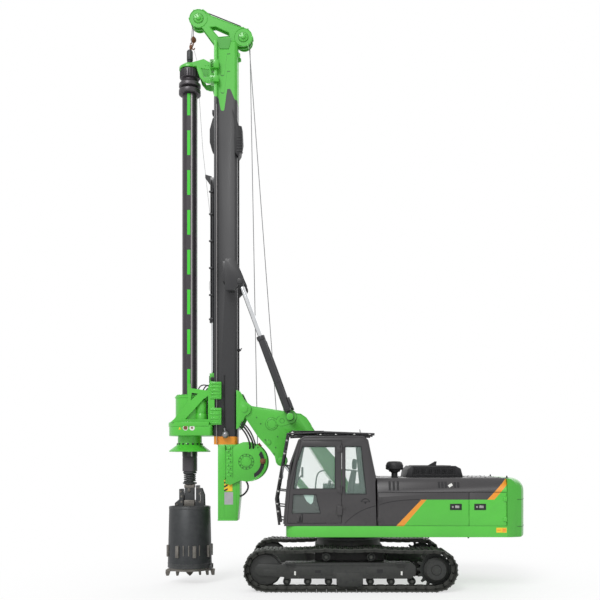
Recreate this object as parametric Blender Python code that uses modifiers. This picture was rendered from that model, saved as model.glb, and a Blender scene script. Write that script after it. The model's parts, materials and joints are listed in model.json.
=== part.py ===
# Rotary piling rig on crawler tracks. Metres, +Z up, +X forward, +Y to the machine's left.
# Pieces are drawn about the slewing axis; the machine empty then moves that axis to SLEW_X.
import bpy
import bmesh
from math import asin, cos, hypot, pi, radians, sin
from mathutils import Matrix, Vector

# Frame and fits
SLEW_X = -0.14
SEAT = 0.0003
PIN_GAP = 0.0006
PANEL_GAP = 0.008

# Undercarriage
TRACK_GAUGE = 2.39
SHOE_WIDTH = 0.60
SHOE_COUNT = 48
TRACK_RADIUS = 0.45
GROUSER_HEIGHT = 0.026
SHOE_THICKNESS = 0.020
LINK_HEIGHT = 0.078
LINK_HALF_GAP = 0.045
LINK_THICKNESS = 0.060
SPROCKET_X = -1.775
IDLER_X = 1.77
CARRIER_ROLLERS_X = (-0.43, 0.50)
CARRIER_RADIUS = 0.083
CARRIER_TOP = 0.805
TRACK_SAG = 0.022
CHORD_DROP = 0.010
ROLLER_RADIUS = 0.08
ROLLER_COUNT = 7
FRAME_HALF_WIDTH = 0.17
SPROCKET_TEETH = 17
HUB_RADIUS = 0.25
CAR_BODY_HALF_LENGTH = 0.95
CAR_BODY_HALF_WIDTH = 0.72
RING_SEAT_RADIUS = 0.70
RING_SEAT_TOP = 0.985

# Platform and slew ring
RING_RADIUS = 0.675
DECK_BOTTOM = 1.127
DECK_TOP = 1.357
DECK_PLATE = 0.022
BODY_HALF_WIDTH = 1.35
DECK_FRONT = 1.344
DECK_REAR = -3.25
DECK_CORNER = 0.22
DECK_NOTCH_X = 0.80
DECK_NOTCH_HALF = 0.43
SKIRT = 0.07

# Counterweight
TAIL_RADIUS = 3.80
WEIGHT_FRONT = DECK_REAR - SEAT
WEIGHT_TOP = 2.345
WEIGHT_EDGE = 0.09

# Cab
CAB_INNER_Y = 0.47
CAB_WALL = 0.05
CAB_TOP = 3.207
CAB_REAR = -0.54
DOOR_REAR_X = 0.185
DOOR_HINGE_Y = 1.378
DOOR_HINGES_Z = (1.66, 2.10, 2.93)
KNUCKLE_HALF = 0.06
GLASS = 0.008
WINDSCREEN_Z = (1.62, 3.04)
GUARD_TUBE = 0.026

# Machinery house
HOUSE_FRONT = -0.556
HOUSE_REAR = -3.246
HOUSE_TOP = 2.352
SHOULDER_Z = 2.06
PANEL_BOTTOM = 1.368
PANEL = 0.035
DOOR_SPLIT_X = -2.455
BAY_DEPTH = 0.30
DOOR_HINGE_OUT = 0.02
HOOD_FRONT = -1.23
HOOD_REAR = -2.46
HOOD_TOP = 2.60
HOOD_HALF_WIDTH = 0.62
TANK_FRONT = 0.86
TANK_TOP = 2.18

# Boom and its pins, as X and Z
BOOM_FOOT = (-0.05, 1.80)
LUFF_FOOT = (0.60, 1.62)
LUFF_EYE = (1.48, 2.71)
MAST_PIVOT = (2.285, 3.849)
TILT_FOOT = (1.283, 3.67)
TILT_EYE = (2.37, 6.61)
BOOM_HALF_WIDTH = 0.35
BOOM_PLATE = 0.045
LUFF_CYLINDER_Y = 0.13
TILT_CYLINDER_Y = 0.45
EYE_HALF = 0.045
PIN_RADIUS = 0.045
EYE_RADIUS = 0.085
AUX_WINCH = (1.687, 3.518)
AUX_DRUM_RADIUS = 0.15
AUX_HALF_WIDTH = 0.20

# Mast
MAST_REAR = 2.46
MAST_FRONT = 2.90
MAST_HALF_WIDTH = 0.24
RAIL_FRONT = 2.96
RAIL_HALF_WIDTH = 0.30
RAIL_DEPTH = 0.07
MAST_BOTTOM = 3.07
MAST_TOP = 11.95
FOOT_BOTTOM = 1.39
MAIN_WINCH = (2.23, 2.69)
MAIN_DRUM_RADIUS = 0.21
MAIN_FLANGE_RADIUS = 0.36
WINCH_HALF_WIDTH = 0.268
WINCH_PLATE = 0.03
FRONT_SHEAVE = (3.332, 12.55)
REAR_SHEAVE = (2.335, 12.13)
SHEAVE_RADIUS = 0.185
SHEAVE_HALF_WIDTH = 0.035
HOUSING_RADIUS = 0.215
HEAD_HALF_WIDTH = 0.20
HEAD_PLATE = 0.03
MAIN_SHEAVE_Y = 0.0
AUX_SHEAVE_Y = -0.11
CROWD_X = 3.025

# Rotary drive on its carriage
DRILL_X = 3.535
GEARBOX = (2.99, 3.26, 3.57)
GEARBOX_DECK = 3.495
GEARBOX_HALF_WIDTH = 0.42
GUIDE_BLOCKS_Z = ((3.50, 3.87), (4.06, 4.44))
GUIDE_REAR = 2.79
GUIDE_FRONT = 3.045
GUIDE_WALL = 0.06
SIDE_PLATE_Y = 0.35
SIDE_PLATE = 0.04
DRUM_RADIUS = 0.314
DRUM_TOP = 4.15
SLEEVE_RADIUS = 0.215
SLEEVE_BORE = 0.168
SKIRT_RADIUS = 0.457
SKIRT_BOTTOM = 2.91

# Kelly and bucket
KELLY_RADIUS = 0.160
KELLY_WALL = 0.022
KELLY_BOTTOM = 2.476
KELLY_FLANGE = (10.86, 11.14, 0.255)
KELLY_CROWN = (11.14, 11.42, 0.225)
CORE_RADIUS = 0.069
CORE_TOP = 11.87
GUIDE_ARM_Z = (11.20, 11.75)
GUIDE_SLOT = 0.10
SPRING_RADIUS = 0.15
BUCKET_TOP = 1.697
BUCKET_BOTTOM = 0.345
BUCKET_RADIUS = 0.475
BUCKET_WALL = 0.022
BAIL_TOP = 2.188
GATE_TEETH = 5
TOOTH_REACH = 0.545
PILOT_TIP = 0.144

ROUND = 16

# Colours: red, green, blue, roughness, metallic
FINISHES = {
    "lime": (0.107, 0.578, 0.065, 0.42, 0.0),
    "graphite": (0.050, 0.048, 0.050, 0.50, 0.0),
    "black": (0.012, 0.012, 0.013, 0.55, 0.0),
    "track": (0.022, 0.026, 0.024, 0.62, 0.6),
    "steel": (0.040, 0.043, 0.047, 0.50, 0.7),
    "chrome": (0.75, 0.76, 0.77, 0.12, 1.0),
    "glass": (0.60, 0.80, 0.72, 0.06, 0.0),
    "cloth": (0.020, 0.020, 0.022, 0.90, 0.0),
}


def clear_scene():
    for obj in list(bpy.data.objects):
        bpy.data.objects.remove(obj, do_unlink=True)


def new_collection(name):
    collection = bpy.data.collections.new(name)
    bpy.context.scene.collection.children.link(collection)
    return collection


def evaluated_mesh(obj):
    depsgraph = bpy.context.evaluated_depsgraph_get()
    return bpy.data.meshes.new_from_object(obj.evaluated_get(depsgraph), depsgraph=depsgraph)


def settle(obj, outward=True):
    # Applies curves and modifiers, welds the doubles and puts the place into the mesh
    bpy.context.view_layer.update()
    mesh = evaluated_mesh(obj)
    mesh.transform(obj.matrix_world)
    form = bmesh.new()
    form.from_mesh(mesh)
    bmesh.ops.remove_doubles(form, verts=form.verts, dist=0.00001)
    if outward:
        bmesh.ops.recalc_face_normals(form, faces=form.faces)
    form.to_mesh(mesh)
    form.free()
    settled = bpy.data.objects.new(obj.name + "_solid", mesh)
    shapes.objects.link(settled)
    bpy.data.objects.remove(obj, do_unlink=True)
    return settled


def box(x, y, z):
    # Each argument is a pair of limits
    low = Vector((min(x), min(y), min(z)))
    high = Vector((max(x), max(y), max(z)))
    bpy.ops.mesh.primitive_cube_add(size=1, location=(low + high) / 2)
    cube = bpy.context.object
    cube.scale = high - low
    return settle(cube)


def cylinder(radius, start, end, sides=ROUND, end_radius=None):
    axis = Vector(end) - Vector(start)
    top = radius if end_radius is None else end_radius
    bpy.ops.mesh.primitive_cone_add(vertices=sides, radius1=radius, radius2=top, depth=axis.length)
    cone = bpy.context.object
    turn = axis.to_track_quat("Z", "Y").to_matrix().to_4x4()
    cone.matrix_world = Matrix.Translation((Vector(start) + Vector(end)) / 2) @ turn
    return settle(cone)


def pin(radius, place, y, sides=10):
    # A round piece along Y at a pin's X and Z
    return cylinder(radius, (place[0], y[0], place[1]), (place[0], y[1], place[1]), sides)


def slab(outline, low, high, normal="Y", holes=()):
    # A flat outline between two planes: in X and Z for normal Y, in X and Y for normal Z
    curve = bpy.data.curves.new("slab", "CURVE")
    curve.dimensions = "2D"
    curve.fill_mode = "BOTH"
    curve.extrude = (high - low) / 2
    for ring in (outline, *holes):
        spline = curve.splines.new("POLY")
        spline.points.add(len(ring) - 1)
        for point, (u, v) in zip(spline.points, ring):
            point.co = (u, v, 0, 1)
        spline.use_cyclic_u = True
    plate = bpy.data.objects.new("slab", curve)
    shapes.objects.link(plate)
    middle = (low + high) / 2
    if normal == "Y":
        plate.location = (0, middle, 0)
        plate.rotation_euler = (pi / 2, 0, 0)
    else:
        plate.location = (0, 0, middle)
    return settle(plate)


def turned(profile, place, axis="Z", sides=ROUND):
    # A profile of radius and height, turned about an axis through place; a ring's profile is closed
    mesh = bpy.data.meshes.new("turned")
    links = [(i, i + 1) for i in range(len(profile) - 1)]
    if profile[0][0] > 0:
        links.append((len(profile) - 1, 0))
    mesh.from_pydata([(radius, 0, height) for radius, height in profile], links, [])
    ring = bpy.data.objects.new("turned", mesh)
    shapes.objects.link(ring)
    screw = ring.modifiers.new("Screw", "SCREW")
    screw.steps = sides
    screw.render_steps = sides
    screw.use_merge_vertices = True
    screw.merge_threshold = 0.00005
    ring.location = place
    if axis == "Y":
        ring.rotation_euler = (pi / 2, 0, 0)
    return settle(ring)


def band(outer, inner, low, high):
    # A closed strip between two loops, the outer with a whole number of points for each inner one
    mesh = bpy.data.meshes.new("band")
    form = bmesh.new()
    share = len(outer) // len(inner)
    far, near = [[form.verts.new((x, low, z)) for x, z in ring] for ring in (outer, inner)]
    for i in range(len(inner)):
        edge = [far[(i * share + step) % len(outer)] for step in range(share + 1)]
        form.faces.new(edge + [near[(i + 1) % len(inner)], near[i]])
    grown_faces = bmesh.ops.extrude_face_region(form, geom=form.faces[:])["geom"]
    moved = [item for item in grown_faces if isinstance(item, bmesh.types.BMVert)]
    bmesh.ops.translate(form, verts=moved, vec=(0, high - low, 0))
    form.to_mesh(mesh)
    form.free()
    strip = bpy.data.objects.new("band", mesh)
    shapes.objects.link(strip)
    return settle(strip)


def tube(points, radius, resolution=0):
    curve = bpy.data.curves.new("tube", "CURVE")
    curve.dimensions = "3D"
    curve.bevel_depth = radius
    curve.bevel_resolution = resolution
    curve.use_fill_caps = True
    spline = curve.splines.new("POLY")
    spline.points.add(len(points) - 1)
    for point, place in zip(spline.points, points):
        point.co = (*place, 1)
    pipe = bpy.data.objects.new("tube", curve)
    shapes.objects.link(pipe)
    return settle(pipe)


def combine(base, others, operation):
    for other in others:
        boolean = base.modifiers.new("Boolean", "BOOLEAN")
        boolean.operation = operation
        boolean.solver = "EXACT"
        boolean.object = other
        other.hide_render = True
        other.display_type = "WIRE"
        base = settle(base, outward=False)
        bpy.data.objects.remove(other, do_unlink=True)
    return base


def join(base, *others):
    return combine(base, others, "UNION")


def cut(base, *others):
    return combine(base, others, "DIFFERENCE")


def mirrored(piece):
    # The same piece on the other side of the machine
    twin = bpy.data.objects.new("twin", piece.data.copy())
    shapes.objects.link(twin)
    twin.matrix_world = Matrix.Diagonal((1, -1, 1, 1))
    return settle(twin)


def arc(centre, radius, start, end, steps=8):
    angles = [radians(start + (end - start) * i / steps) for i in range(steps + 1)]
    return [(centre[0] + radius * cos(a), centre[1] + radius * sin(a)) for a in angles]


def bore(radius, sides=10):
    # The drawn radius of a bore that a pin of this radius turns in
    return (radius + PIN_GAP) / cos(pi / sides)


def finish(name, piece, body, finish_name):
    # Names a piece, gives it its own material and hangs it on its body's axis
    values = FINISHES[finish_name]
    material = bpy.data.materials.new(name)
    material.use_nodes = True
    shader = material.node_tree.nodes["Principled BSDF"]
    shader.inputs["Base Color"].default_value = (*values[:3], 1)
    shader.inputs["Roughness"].default_value = values[3]
    shader.inputs["Metallic"].default_value = values[4]
    piece.name = name
    piece.data.name = name
    piece.data.materials.clear()
    piece.data.materials.append(material)
    axis = axes[body]
    piece.data.transform(Matrix.Translation(-Vector(axis_places[body])))
    piece.parent = axis
    piece.data.shade_smooth()
    piece.data.set_sharp_from_angle(angle=radians(32))
    shapes.objects.unlink(piece)
    parts.objects.link(piece)
    return piece


def add_axis(name, place):
    empty = bpy.data.objects.new(name + "_axis", None)
    empty.location = place
    parts.objects.link(empty)
    empty.parent = machine
    axes[name] = empty
    axis_places[name] = place


# Track loop: a tip line that runs round the idler and the sprocket and sags between the carrier rollers

def track_stations():
    line = [(SPROCKET_X, 0.0), (IDLER_X, 0.0)]
    line += arc((IDLER_X, TRACK_RADIUS), TRACK_RADIUS, -90, 90, 20)[1:]
    belt = GROUSER_HEIGHT + SHOE_THICKNESS + LINK_HEIGHT
    top = CARRIER_TOP + belt
    supports = [(IDLER_X, 2 * TRACK_RADIUS), (CARRIER_ROLLERS_X[1], top)]
    supports += [(CARRIER_ROLLERS_X[0], top), (SPROCKET_X, 2 * TRACK_RADIUS)]
    for (x0, z0), (x1, z1) in zip(supports, supports[1:]):
        for step in range(1, 7):
            t = step / 6
            line.append((x0 + (x1 - x0) * t, z0 + (z1 - z0) * t - 4 * TRACK_SAG * t * (1 - t)))
    line += arc((SPROCKET_X, TRACK_RADIUS), TRACK_RADIUS, 90, 270, 20)[1:-1]
    return line


def track_offset(line, depths, count):
    # Walks the closed tip line and returns points sunk by each (share of pitch, depth)
    closed = line + line[:1]
    lengths = [0.0]
    for (x0, z0), (x1, z1) in zip(closed, closed[1:]):
        lengths.append(lengths[-1] + hypot(x1 - x0, z1 - z0))
    pitch = lengths[-1] / count
    points = []
    segment = 0
    for shoe in range(count):
        for share, depth in depths:
            at = (shoe + share) * pitch
            while lengths[segment + 1] < at:
                segment += 1
            (x0, z0), (x1, z1) = closed[segment], closed[segment + 1]
            run = lengths[segment + 1] - lengths[segment]
            t = (at - lengths[segment]) / run
            inward = (-(z1 - z0) / run, (x1 - x0) / run)
            points.append((x0 + (x1 - x0) * t + inward[0] * depth, z0 + (z1 - z0) * t + inward[1] * depth))
    return points


SHOE_PROFILE = (
    # share of the pitch, depth below the grouser tips
    (0.02, GROUSER_HEIGHT + SHOE_THICKNESS * 0.4),
    (0.06, 0.0), (0.18, 0.0), (0.24, GROUSER_HEIGHT),
    (0.76, GROUSER_HEIGHT), (0.82, 0.0), (0.94, 0.0),
)


def build_track(side):
    line = track_stations()
    plate_depth = GROUSER_HEIGHT + SHOE_THICKNESS
    outer = track_offset(line, SHOE_PROFILE, SHOE_COUNT)
    inner = track_offset(line, ((0.0, plate_depth),), SHOE_COUNT)
    centre = side * TRACK_GAUGE / 2
    belt = band(outer, inner, centre - SHOE_WIDTH / 2, centre + SHOE_WIDTH / 2)
    rail_outer = track_offset(line, ((0.0, plate_depth - 0.25 * SHOE_THICKNESS),), SHOE_COUNT)
    rail_inner = track_offset(line, ((0.0, plate_depth + LINK_HEIGHT),), SHOE_COUNT)
    for sign in (-1, 1):
        near = centre + sign * LINK_HALF_GAP
        far = centre + sign * (LINK_HALF_GAP + LINK_THICKNESS)
        belt = join(belt, band(rail_outer, rail_inner, min(near, far), max(near, far)))
    return belt


def build_track_frame():
    # The left frame, with its rollers, idler, yoke and guards
    centre = TRACK_GAUGE / 2
    low, high = centre - FRAME_HALF_WIDTH, centre + FRAME_HALF_WIDTH
    rail_z = GROUSER_HEIGHT + SHOE_THICKNESS + LINK_HEIGHT
    outline = [(-1.35, 0.36), (-1.25, 0.27), (1.34, 0.27), (1.46, 0.36), (1.46, 0.54), (1.34, 0.60)]
    outline += [(-1.25, 0.60), (-1.35, 0.52)]
    frame = slab(outline, low, high)
    guard = [(-0.20, 0.10), (0.23, 0.10), (0.29, 0.16), (0.29, 0.40), (-0.26, 0.40), (-0.26, 0.16)]
    frame = join(frame, slab(guard, high - 0.03, high + 0.012))
    reach = LINK_HALF_GAP + LINK_THICKNESS + 0.005
    for number in range(ROLLER_COUNT):
        x = -1.28 + 2.60 * number / (ROLLER_COUNT - 1)
        place = (x, rail_z + SEAT + ROLLER_RADIUS)
        frame = join(frame, pin(ROLLER_RADIUS, place, (centre - reach, centre + reach), 8))
    for x in CARRIER_ROLLERS_X:
        place = (x, CARRIER_TOP - CARRIER_RADIUS - CHORD_DROP)
        frame = join(frame, pin(CARRIER_RADIUS, place, (centre - reach, centre + reach), 8))
        frame = join(frame, box((x - 0.05, x + 0.05), (low + 0.02, low + 0.055), (0.5, place[1] + 0.03)))
        frame = join(frame, pin(0.035, place, (low + 0.03, centre), 12))
    wheel = TRACK_RADIUS - GROUSER_HEIGHT - SHOE_THICKNESS - LINK_HEIGHT - CHORD_DROP
    flange = wheel + 0.04
    hub = LINK_HALF_GAP - 0.01
    profile = [(0.05, -reach), (wheel, -reach), (wheel, -hub), (flange, -hub + 0.006), (flange, hub - 0.006)]
    profile += [(wheel, hub), (wheel, reach), (0.05, reach)]
    frame = join(frame, turned(profile, (IDLER_X, centre, TRACK_RADIUS), "Y", 16))
    yoke = [(1.30, 0.30), (1.90, 0.34), (1.975, 0.42), (1.975, 0.50), (1.90, 0.58), (1.30, 0.56)]
    frame = join(frame, slab(yoke, high - 0.045, high + 0.006))
    frame = join(frame, slab(yoke, low - 0.006, low + 0.045))
    frame = join(frame, pin(0.07, (IDLER_X, TRACK_RADIUS), (low + 0.01, high - 0.01), 12))
    bracket = [(-1.25, 0.34), (-1.85, 0.34), (-1.93, 0.42), (-1.93, 0.50), (-1.85, 0.57), (-1.25, 0.57)]
    frame = join(frame, slab(bracket, low - 0.03, low + 0.012))
    for x, z in ((1.25, 0.60), (-1.02, 0.60)):
        frame = join(frame, box((x - 0.09, x + 0.09), (high - 0.03, high + 0.10), (z - 0.02, z + 0.012)))
    return frame


def build_sprocket():
    # The left sprocket: a toothed ring between the link rails, and its final drive
    centre = TRACK_GAUGE / 2
    tip = TRACK_RADIUS - GROUSER_HEIGHT - SHOE_THICKNESS - 0.012
    root = tip - 0.075
    outline = []
    for tooth in range(SPROCKET_TEETH):
        for share, radius in ((-0.30, root), (-0.12, tip), (0.12, tip), (0.30, root)):
            a = 2 * pi * (tooth + share) / SPROCKET_TEETH
            outline.append((SPROCKET_X + radius * cos(a), TRACK_RADIUS + radius * sin(a)))
    half = LINK_HALF_GAP - 0.012
    wheel = slab(outline, centre - half, centre + half)
    inner = -(FRAME_HALF_WIDTH - 0.012) + SEAT
    profile = [(0.02, inner), (0.19, inner), (0.19, -0.05), (HUB_RADIUS, -0.05), (HUB_RADIUS, 0.14)]
    profile += [(0.20, 0.19), (0.11, 0.19), (0.10, 0.215), (0.02, 0.215)]
    hub = turned([(r, -h) for r, h in profile], (SPROCKET_X, centre, TRACK_RADIUS), "Y", 14)
    core = pin(0.06, (SPROCKET_X, TRACK_RADIUS), (centre + inner + 0.001, centre + 0.214))
    return join(wheel, hub, core)


def build_car_body():
    frame_face = TRACK_GAUGE / 2 - FRAME_HALF_WIDTH - SEAT
    body = box((-0.74, 0.74), (-CAR_BODY_HALF_WIDTH, CAR_BODY_HALF_WIDTH), (0.46, 0.86))
    for sign in (-1, 1):
        legs = [(sign * 0.30, -CAR_BODY_HALF_WIDTH - 0.02), (sign * 0.30, CAR_BODY_HALF_WIDTH + 0.02)]
        legs += [(sign * 0.52, frame_face), (sign * CAR_BODY_HALF_LENGTH, frame_face)]
        legs += [(sign * 0.70, 0.40), (sign * 0.70, -0.40)]
        legs += [(sign * CAR_BODY_HALF_LENGTH, -frame_face), (sign * 0.52, -frame_face)]
        body = join(body, slab(legs, 0.33, 0.57, "Z"))
    ring = cylinder(RING_SEAT_RADIUS, (0, 0, 0.80), (0, 0, RING_SEAT_TOP), 24)
    return join(body, ring)


# Upper structure

def build_platform():
    notch, half = DECK_NOTCH_X, DECK_NOTCH_HALF
    front, side, corner = DECK_FRONT, BODY_HALF_WIDTH, DECK_CORNER
    outline = [(DECK_REAR, -side)]
    outline += arc((front - corner, -side + corner), corner, -90, 0, 5)
    outline += [(front, -half), (notch, -half), (notch, half), (front, half)]
    outline += arc((front - corner, side - corner), corner, 0, 90, 5)
    outline += [(DECK_REAR, side)]
    deck = slab(outline, DECK_BOTTOM, DECK_TOP, "Z")
    pockets = []
    for x0, x1 in ((DECK_REAR + 0.12, -1.75), (-1.65, -0.80), (0.80, DECK_FRONT - 0.10)):
        for y0, y1 in ((-side + SKIRT, -0.50), (0.50, side - SKIRT)):
            pockets.append(box((x0, x1), (y0, y1), (DECK_BOTTOM - 0.05, DECK_TOP - DECK_PLATE)))
    deck = cut(deck, *pockets)
    ring = cylinder(RING_RADIUS, (0, 0, RING_SEAT_TOP + SEAT), (0, 0, DECK_BOTTOM + 0.05), 24)
    deck = join(deck, ring)
    lug_in = BOOM_HALF_WIDTH - BOOM_PLATE - PIN_GAP
    lug = [(-0.36, DECK_TOP - 0.03), (0.30, DECK_TOP - 0.03)]
    lug += arc(BOOM_FOOT, 0.16, 10, 170, 8)
    for sign in (-1, 1):
        faces = sorted((sign * (lug_in - 0.05), sign * lug_in))
        deck = join(deck, slab(lug, *faces))
    boom_pin = pin(PIN_RADIUS + 0.01, BOOM_FOOT, (-BOOM_HALF_WIDTH - 0.02, BOOM_HALF_WIDTH + 0.02))
    deck = join(deck, boom_pin)
    foot = [(LUFF_FOOT[0] - 0.22, DECK_TOP - 0.03), (LUFF_FOOT[0] + 0.20, DECK_TOP - 0.03)]
    foot += arc(LUFF_FOOT, 0.10, 0, 180, 8)
    eye_in = LUFF_CYLINDER_Y - 0.05 - PIN_GAP
    eye_out = LUFF_CYLINDER_Y + 0.05 + PIN_GAP
    for sign in (-1, 1):
        for near, far in ((eye_in - 0.03, eye_in), (eye_out, eye_out + 0.03)):
            faces = sorted((sign * near, sign * far))
            deck = join(deck, slab(foot, *faces))
    luff_pin = pin(PIN_RADIUS, LUFF_FOOT, (-eye_out - 0.05, eye_out + 0.05))
    return join(deck, luff_pin)


def cab_outline(inset=0.0):
    # The cab's side view: front pillar, roof and rear, as X and Z
    i = inset
    outline = [(CAB_REAR + i, DECK_TOP + SEAT + i), (1.31 - i, DECK_TOP + SEAT + i), (1.20 - i, 2.12)]
    outline += [(1.11 - i, 2.65), (1.03 - i, 3.13)]
    outline += [(0.97 - i, CAB_TOP - i), (-0.27 + i, CAB_TOP - i), (-0.35 + i, 3.13), (-0.51 + i, 2.36)]
    return outline


DOOR_OUTLINE = (
    (DOOR_REAR_X, 1.42), (1.245, 1.42), (1.145, 2.12), (1.06, 2.65), (0.98, 3.12), (DOOR_REAR_X, 3.12),
)
DOOR_WINDOW = ((0.316, 2.13), (1.09, 2.13), (1.01, 2.65), (0.945, 3.01), (0.316, 3.01))
DOOR_LOW_WINDOW = ((0.62, 1.62), (1.15, 1.62), (1.10, 2.01), (0.70, 2.01))
REAR_WINDOW = ((-0.33, 2.02), (0.11, 2.02), (0.11, 3.01), (-0.22, 3.01))


def grown(outline, by):
    # Moves a convex outline's points away from its middle by about this much in X and Z
    middle_x = sum(p[0] for p in outline) / len(outline)
    middle_z = sum(p[1] for p in outline) / len(outline)
    return [(x + (by if x > middle_x else -by), z + (by if z > middle_z else -by)) for x, z in outline]


def pane(outline, y):
    # A flat pane let into an opening, with a seat gap all round
    return slab(grown(outline, -SEAT), y - GLASS / 2, y + GLASS / 2)


def cab_front_x(z):
    outline = cab_outline()
    line = [outline[1], outline[2], outline[3], outline[4]]
    for (x0, z0), (x1, z1) in zip(line, line[1:]):
        if z <= z1:
            return x0 + (x1 - x0) * (z - z0) / (z1 - z0)
    return line[-1][0]


def build_cab():
    outer_y, inner_y, wall = BODY_HALF_WIDTH, CAB_INNER_Y, CAB_WALL
    shell = slab(cab_outline(), inner_y, outer_y)
    room = slab(cab_outline(wall), inner_y + wall, outer_y - wall)
    shell = cut(shell, room)
    left = (outer_y - 2 * wall, outer_y + 0.1)
    right = (inner_y - 0.1, inner_y + 2 * wall)
    shell = cut(shell, slab(grown(DOOR_OUTLINE, PANEL_GAP), *left))
    shell = cut(shell, slab(REAR_WINDOW, *left))
    right_window = [(-0.25, 2.02), (1.08, 2.02), (0.93, 3.01), (-0.15, 3.01)]
    shell = cut(shell, slab(right_window, *right))
    low, high = WINDSCREEN_Z
    opening = (inner_y + 0.08, outer_y - 0.08)
    shell = cut(shell, box((0.90, 1.5), opening, (low, high)))
    shell = cut(shell, box((-0.8, -0.25), opening, (2.42, 3.02)))
    for z in DOOR_HINGES_Z:
        base, top = z + KNUCKLE_HALF + PIN_GAP, z + KNUCKLE_HALF + 0.045
        knuckle = cylinder(0.02, (DOOR_REAR_X, DOOR_HINGE_Y, base), (DOOR_REAR_X, DOOR_HINGE_Y, top), 10)
        leaf = box((DOOR_REAR_X - 0.08, DOOR_REAR_X + 0.004), (outer_y + 0.006, DOOR_HINGE_Y), (base, top - 0.002))
        foot = box((DOOR_REAR_X - 0.078, DOOR_REAR_X - 0.03), (outer_y - 0.005, outer_y + 0.01), (base + 0.001, top - 0.003))
        shell = join(shell, foot, leaf, knuckle)
    panes = {"left_pane": pane(REAR_WINDOW, outer_y - 0.02), "right_pane": pane(right_window, inner_y + 0.02)}
    screen = [(cab_front_x(z) - 0.02, z) for z in (low + SEAT, 2.12, 2.65, high - SEAT)]
    screen += [(x - GLASS, z) for x, z in reversed(screen)]
    panes["windscreen"] = slab(screen, opening[0] + SEAT, opening[1] - SEAT)
    rear_line = [(-0.51 + 0.16 * (z - 2.36) / 0.77 + 0.02, z) for z in (2.42 + SEAT, 3.02 - SEAT)]
    rear_line += [(x + GLASS, z) for x, z in reversed(rear_line)]
    panes["rear_pane"] = slab(rear_line, opening[0] + SEAT, opening[1] - SEAT)
    return shell, panes


def build_cab_door():
    outer = BODY_HALF_WIDTH
    door = slab(DOOR_OUTLINE, outer - 0.035, outer)
    through = (outer - 0.1, outer + 0.1)
    door = cut(door, slab(DOOR_WINDOW, *through), slab(DOOR_LOW_WINDOW, *through))
    for z in DOOR_HINGES_Z:
        ends = [(DOOR_REAR_X, DOOR_HINGE_Y, z + sign * KNUCKLE_HALF) for sign in (-1, 1)]
        knuckle = cylinder(0.02, *ends, 10)
        leaf = box((DOOR_REAR_X - 0.004, DOOR_REAR_X + 0.09), (outer - 0.005, DOOR_HINGE_Y), (z - 0.05, z + 0.05))
        door = join(door, leaf, knuckle)
    handle = box((1.02, 1.06), (outer - 0.005, outer + 0.025), (1.45, 1.57))
    door = join(door, handle)
    y = outer - 0.018
    return door, pane(DOOR_WINDOW, y), pane(DOOR_LOW_WINDOW, y)


def build_cab_guard():
    # Bars before the windscreen and over the roof
    left, right = BODY_HALF_WIDTH - 0.03, CAB_INNER_Y + 0.03
    front = [(1.35, 1.40), (1.50, 1.82), (1.27, 3.30), (0.54, 3.30), (-0.50, 3.26)]
    guard = None
    for y in (left, right):
        rail = tube([(x, y, z) for x, z in front], GUARD_TUBE)
        guard = rail if guard is None else join(guard, rail)
    for x, z in ((1.46, 1.72), (1.41, 2.40), (1.33, 2.92), (1.27, 3.30), (0.90, 3.30), (0.54, 3.30), (0.02, 3.28)):
        guard = join(guard, tube([(x, right, z), (x, left, z)], GUARD_TUBE * 0.8))
    guard = join(guard, tube([(-0.49, right, 3.26), (-0.49, left, 3.26)], GUARD_TUBE * 0.8))
    for y in (left, right):
        for x, post_top in ((-0.24, 3.268), (0.68, 3.301)):
            guard = join(guard, box((x - 0.015, x + 0.017), (y - 0.011, y + 0.014), (CAB_TOP + SEAT, post_top)))
        front_x = cab_front_x(1.46)
        guard = join(guard, box((front_x + SEAT, 1.385), (y - 0.012, y + 0.015), (1.46, 1.52)))
    return guard


def build_seat():
    middle = (BODY_HALF_WIDTH + CAB_INNER_Y) / 2
    floor = DECK_TOP + SEAT + CAB_WALL + SEAT
    base = box((-0.02, 0.38), (middle - 0.20, middle + 0.20), (floor, floor + 0.34))
    cushion = box((-0.08, 0.45), (middle - 0.26, middle + 0.26), (floor + 0.32, floor + 0.48))
    back = [(-0.08, floor + 0.40), (0.06, floor + 0.44), (-0.04, floor + 1.12), (-0.16, floor + 1.12)]
    head = [(-0.15, floor + 1.10), (-0.05, floor + 1.10), (-0.06, floor + 1.36), (-0.16, floor + 1.34)]
    seat = join(base, cushion, slab(back, middle - 0.25, middle + 0.25))
    seat = join(seat, slab(head, middle - 0.14, middle + 0.14))
    for sign in (-1, 1):
        edges = sorted((middle + sign * 0.25, middle + sign * 0.37))
        seat = join(seat, box((0.00, 0.52), edges, (floor + 0.44, floor + 0.66)))
    return seat


DOOR_BAYS = {
    # name: front X, rear X, side, hinge X
    "left_front_door": (HOUSE_FRONT - 0.02, DOOR_SPLIT_X + 0.006, 1, HOUSE_FRONT - 0.02),
    "left_rear_door": (DOOR_SPLIT_X - 0.006, HOUSE_REAR + 0.02, 1, HOUSE_REAR + 0.02),
    "right_door": (-1.60, HOUSE_REAR + 0.02, -1, HOUSE_REAR + 0.02),
}

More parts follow.
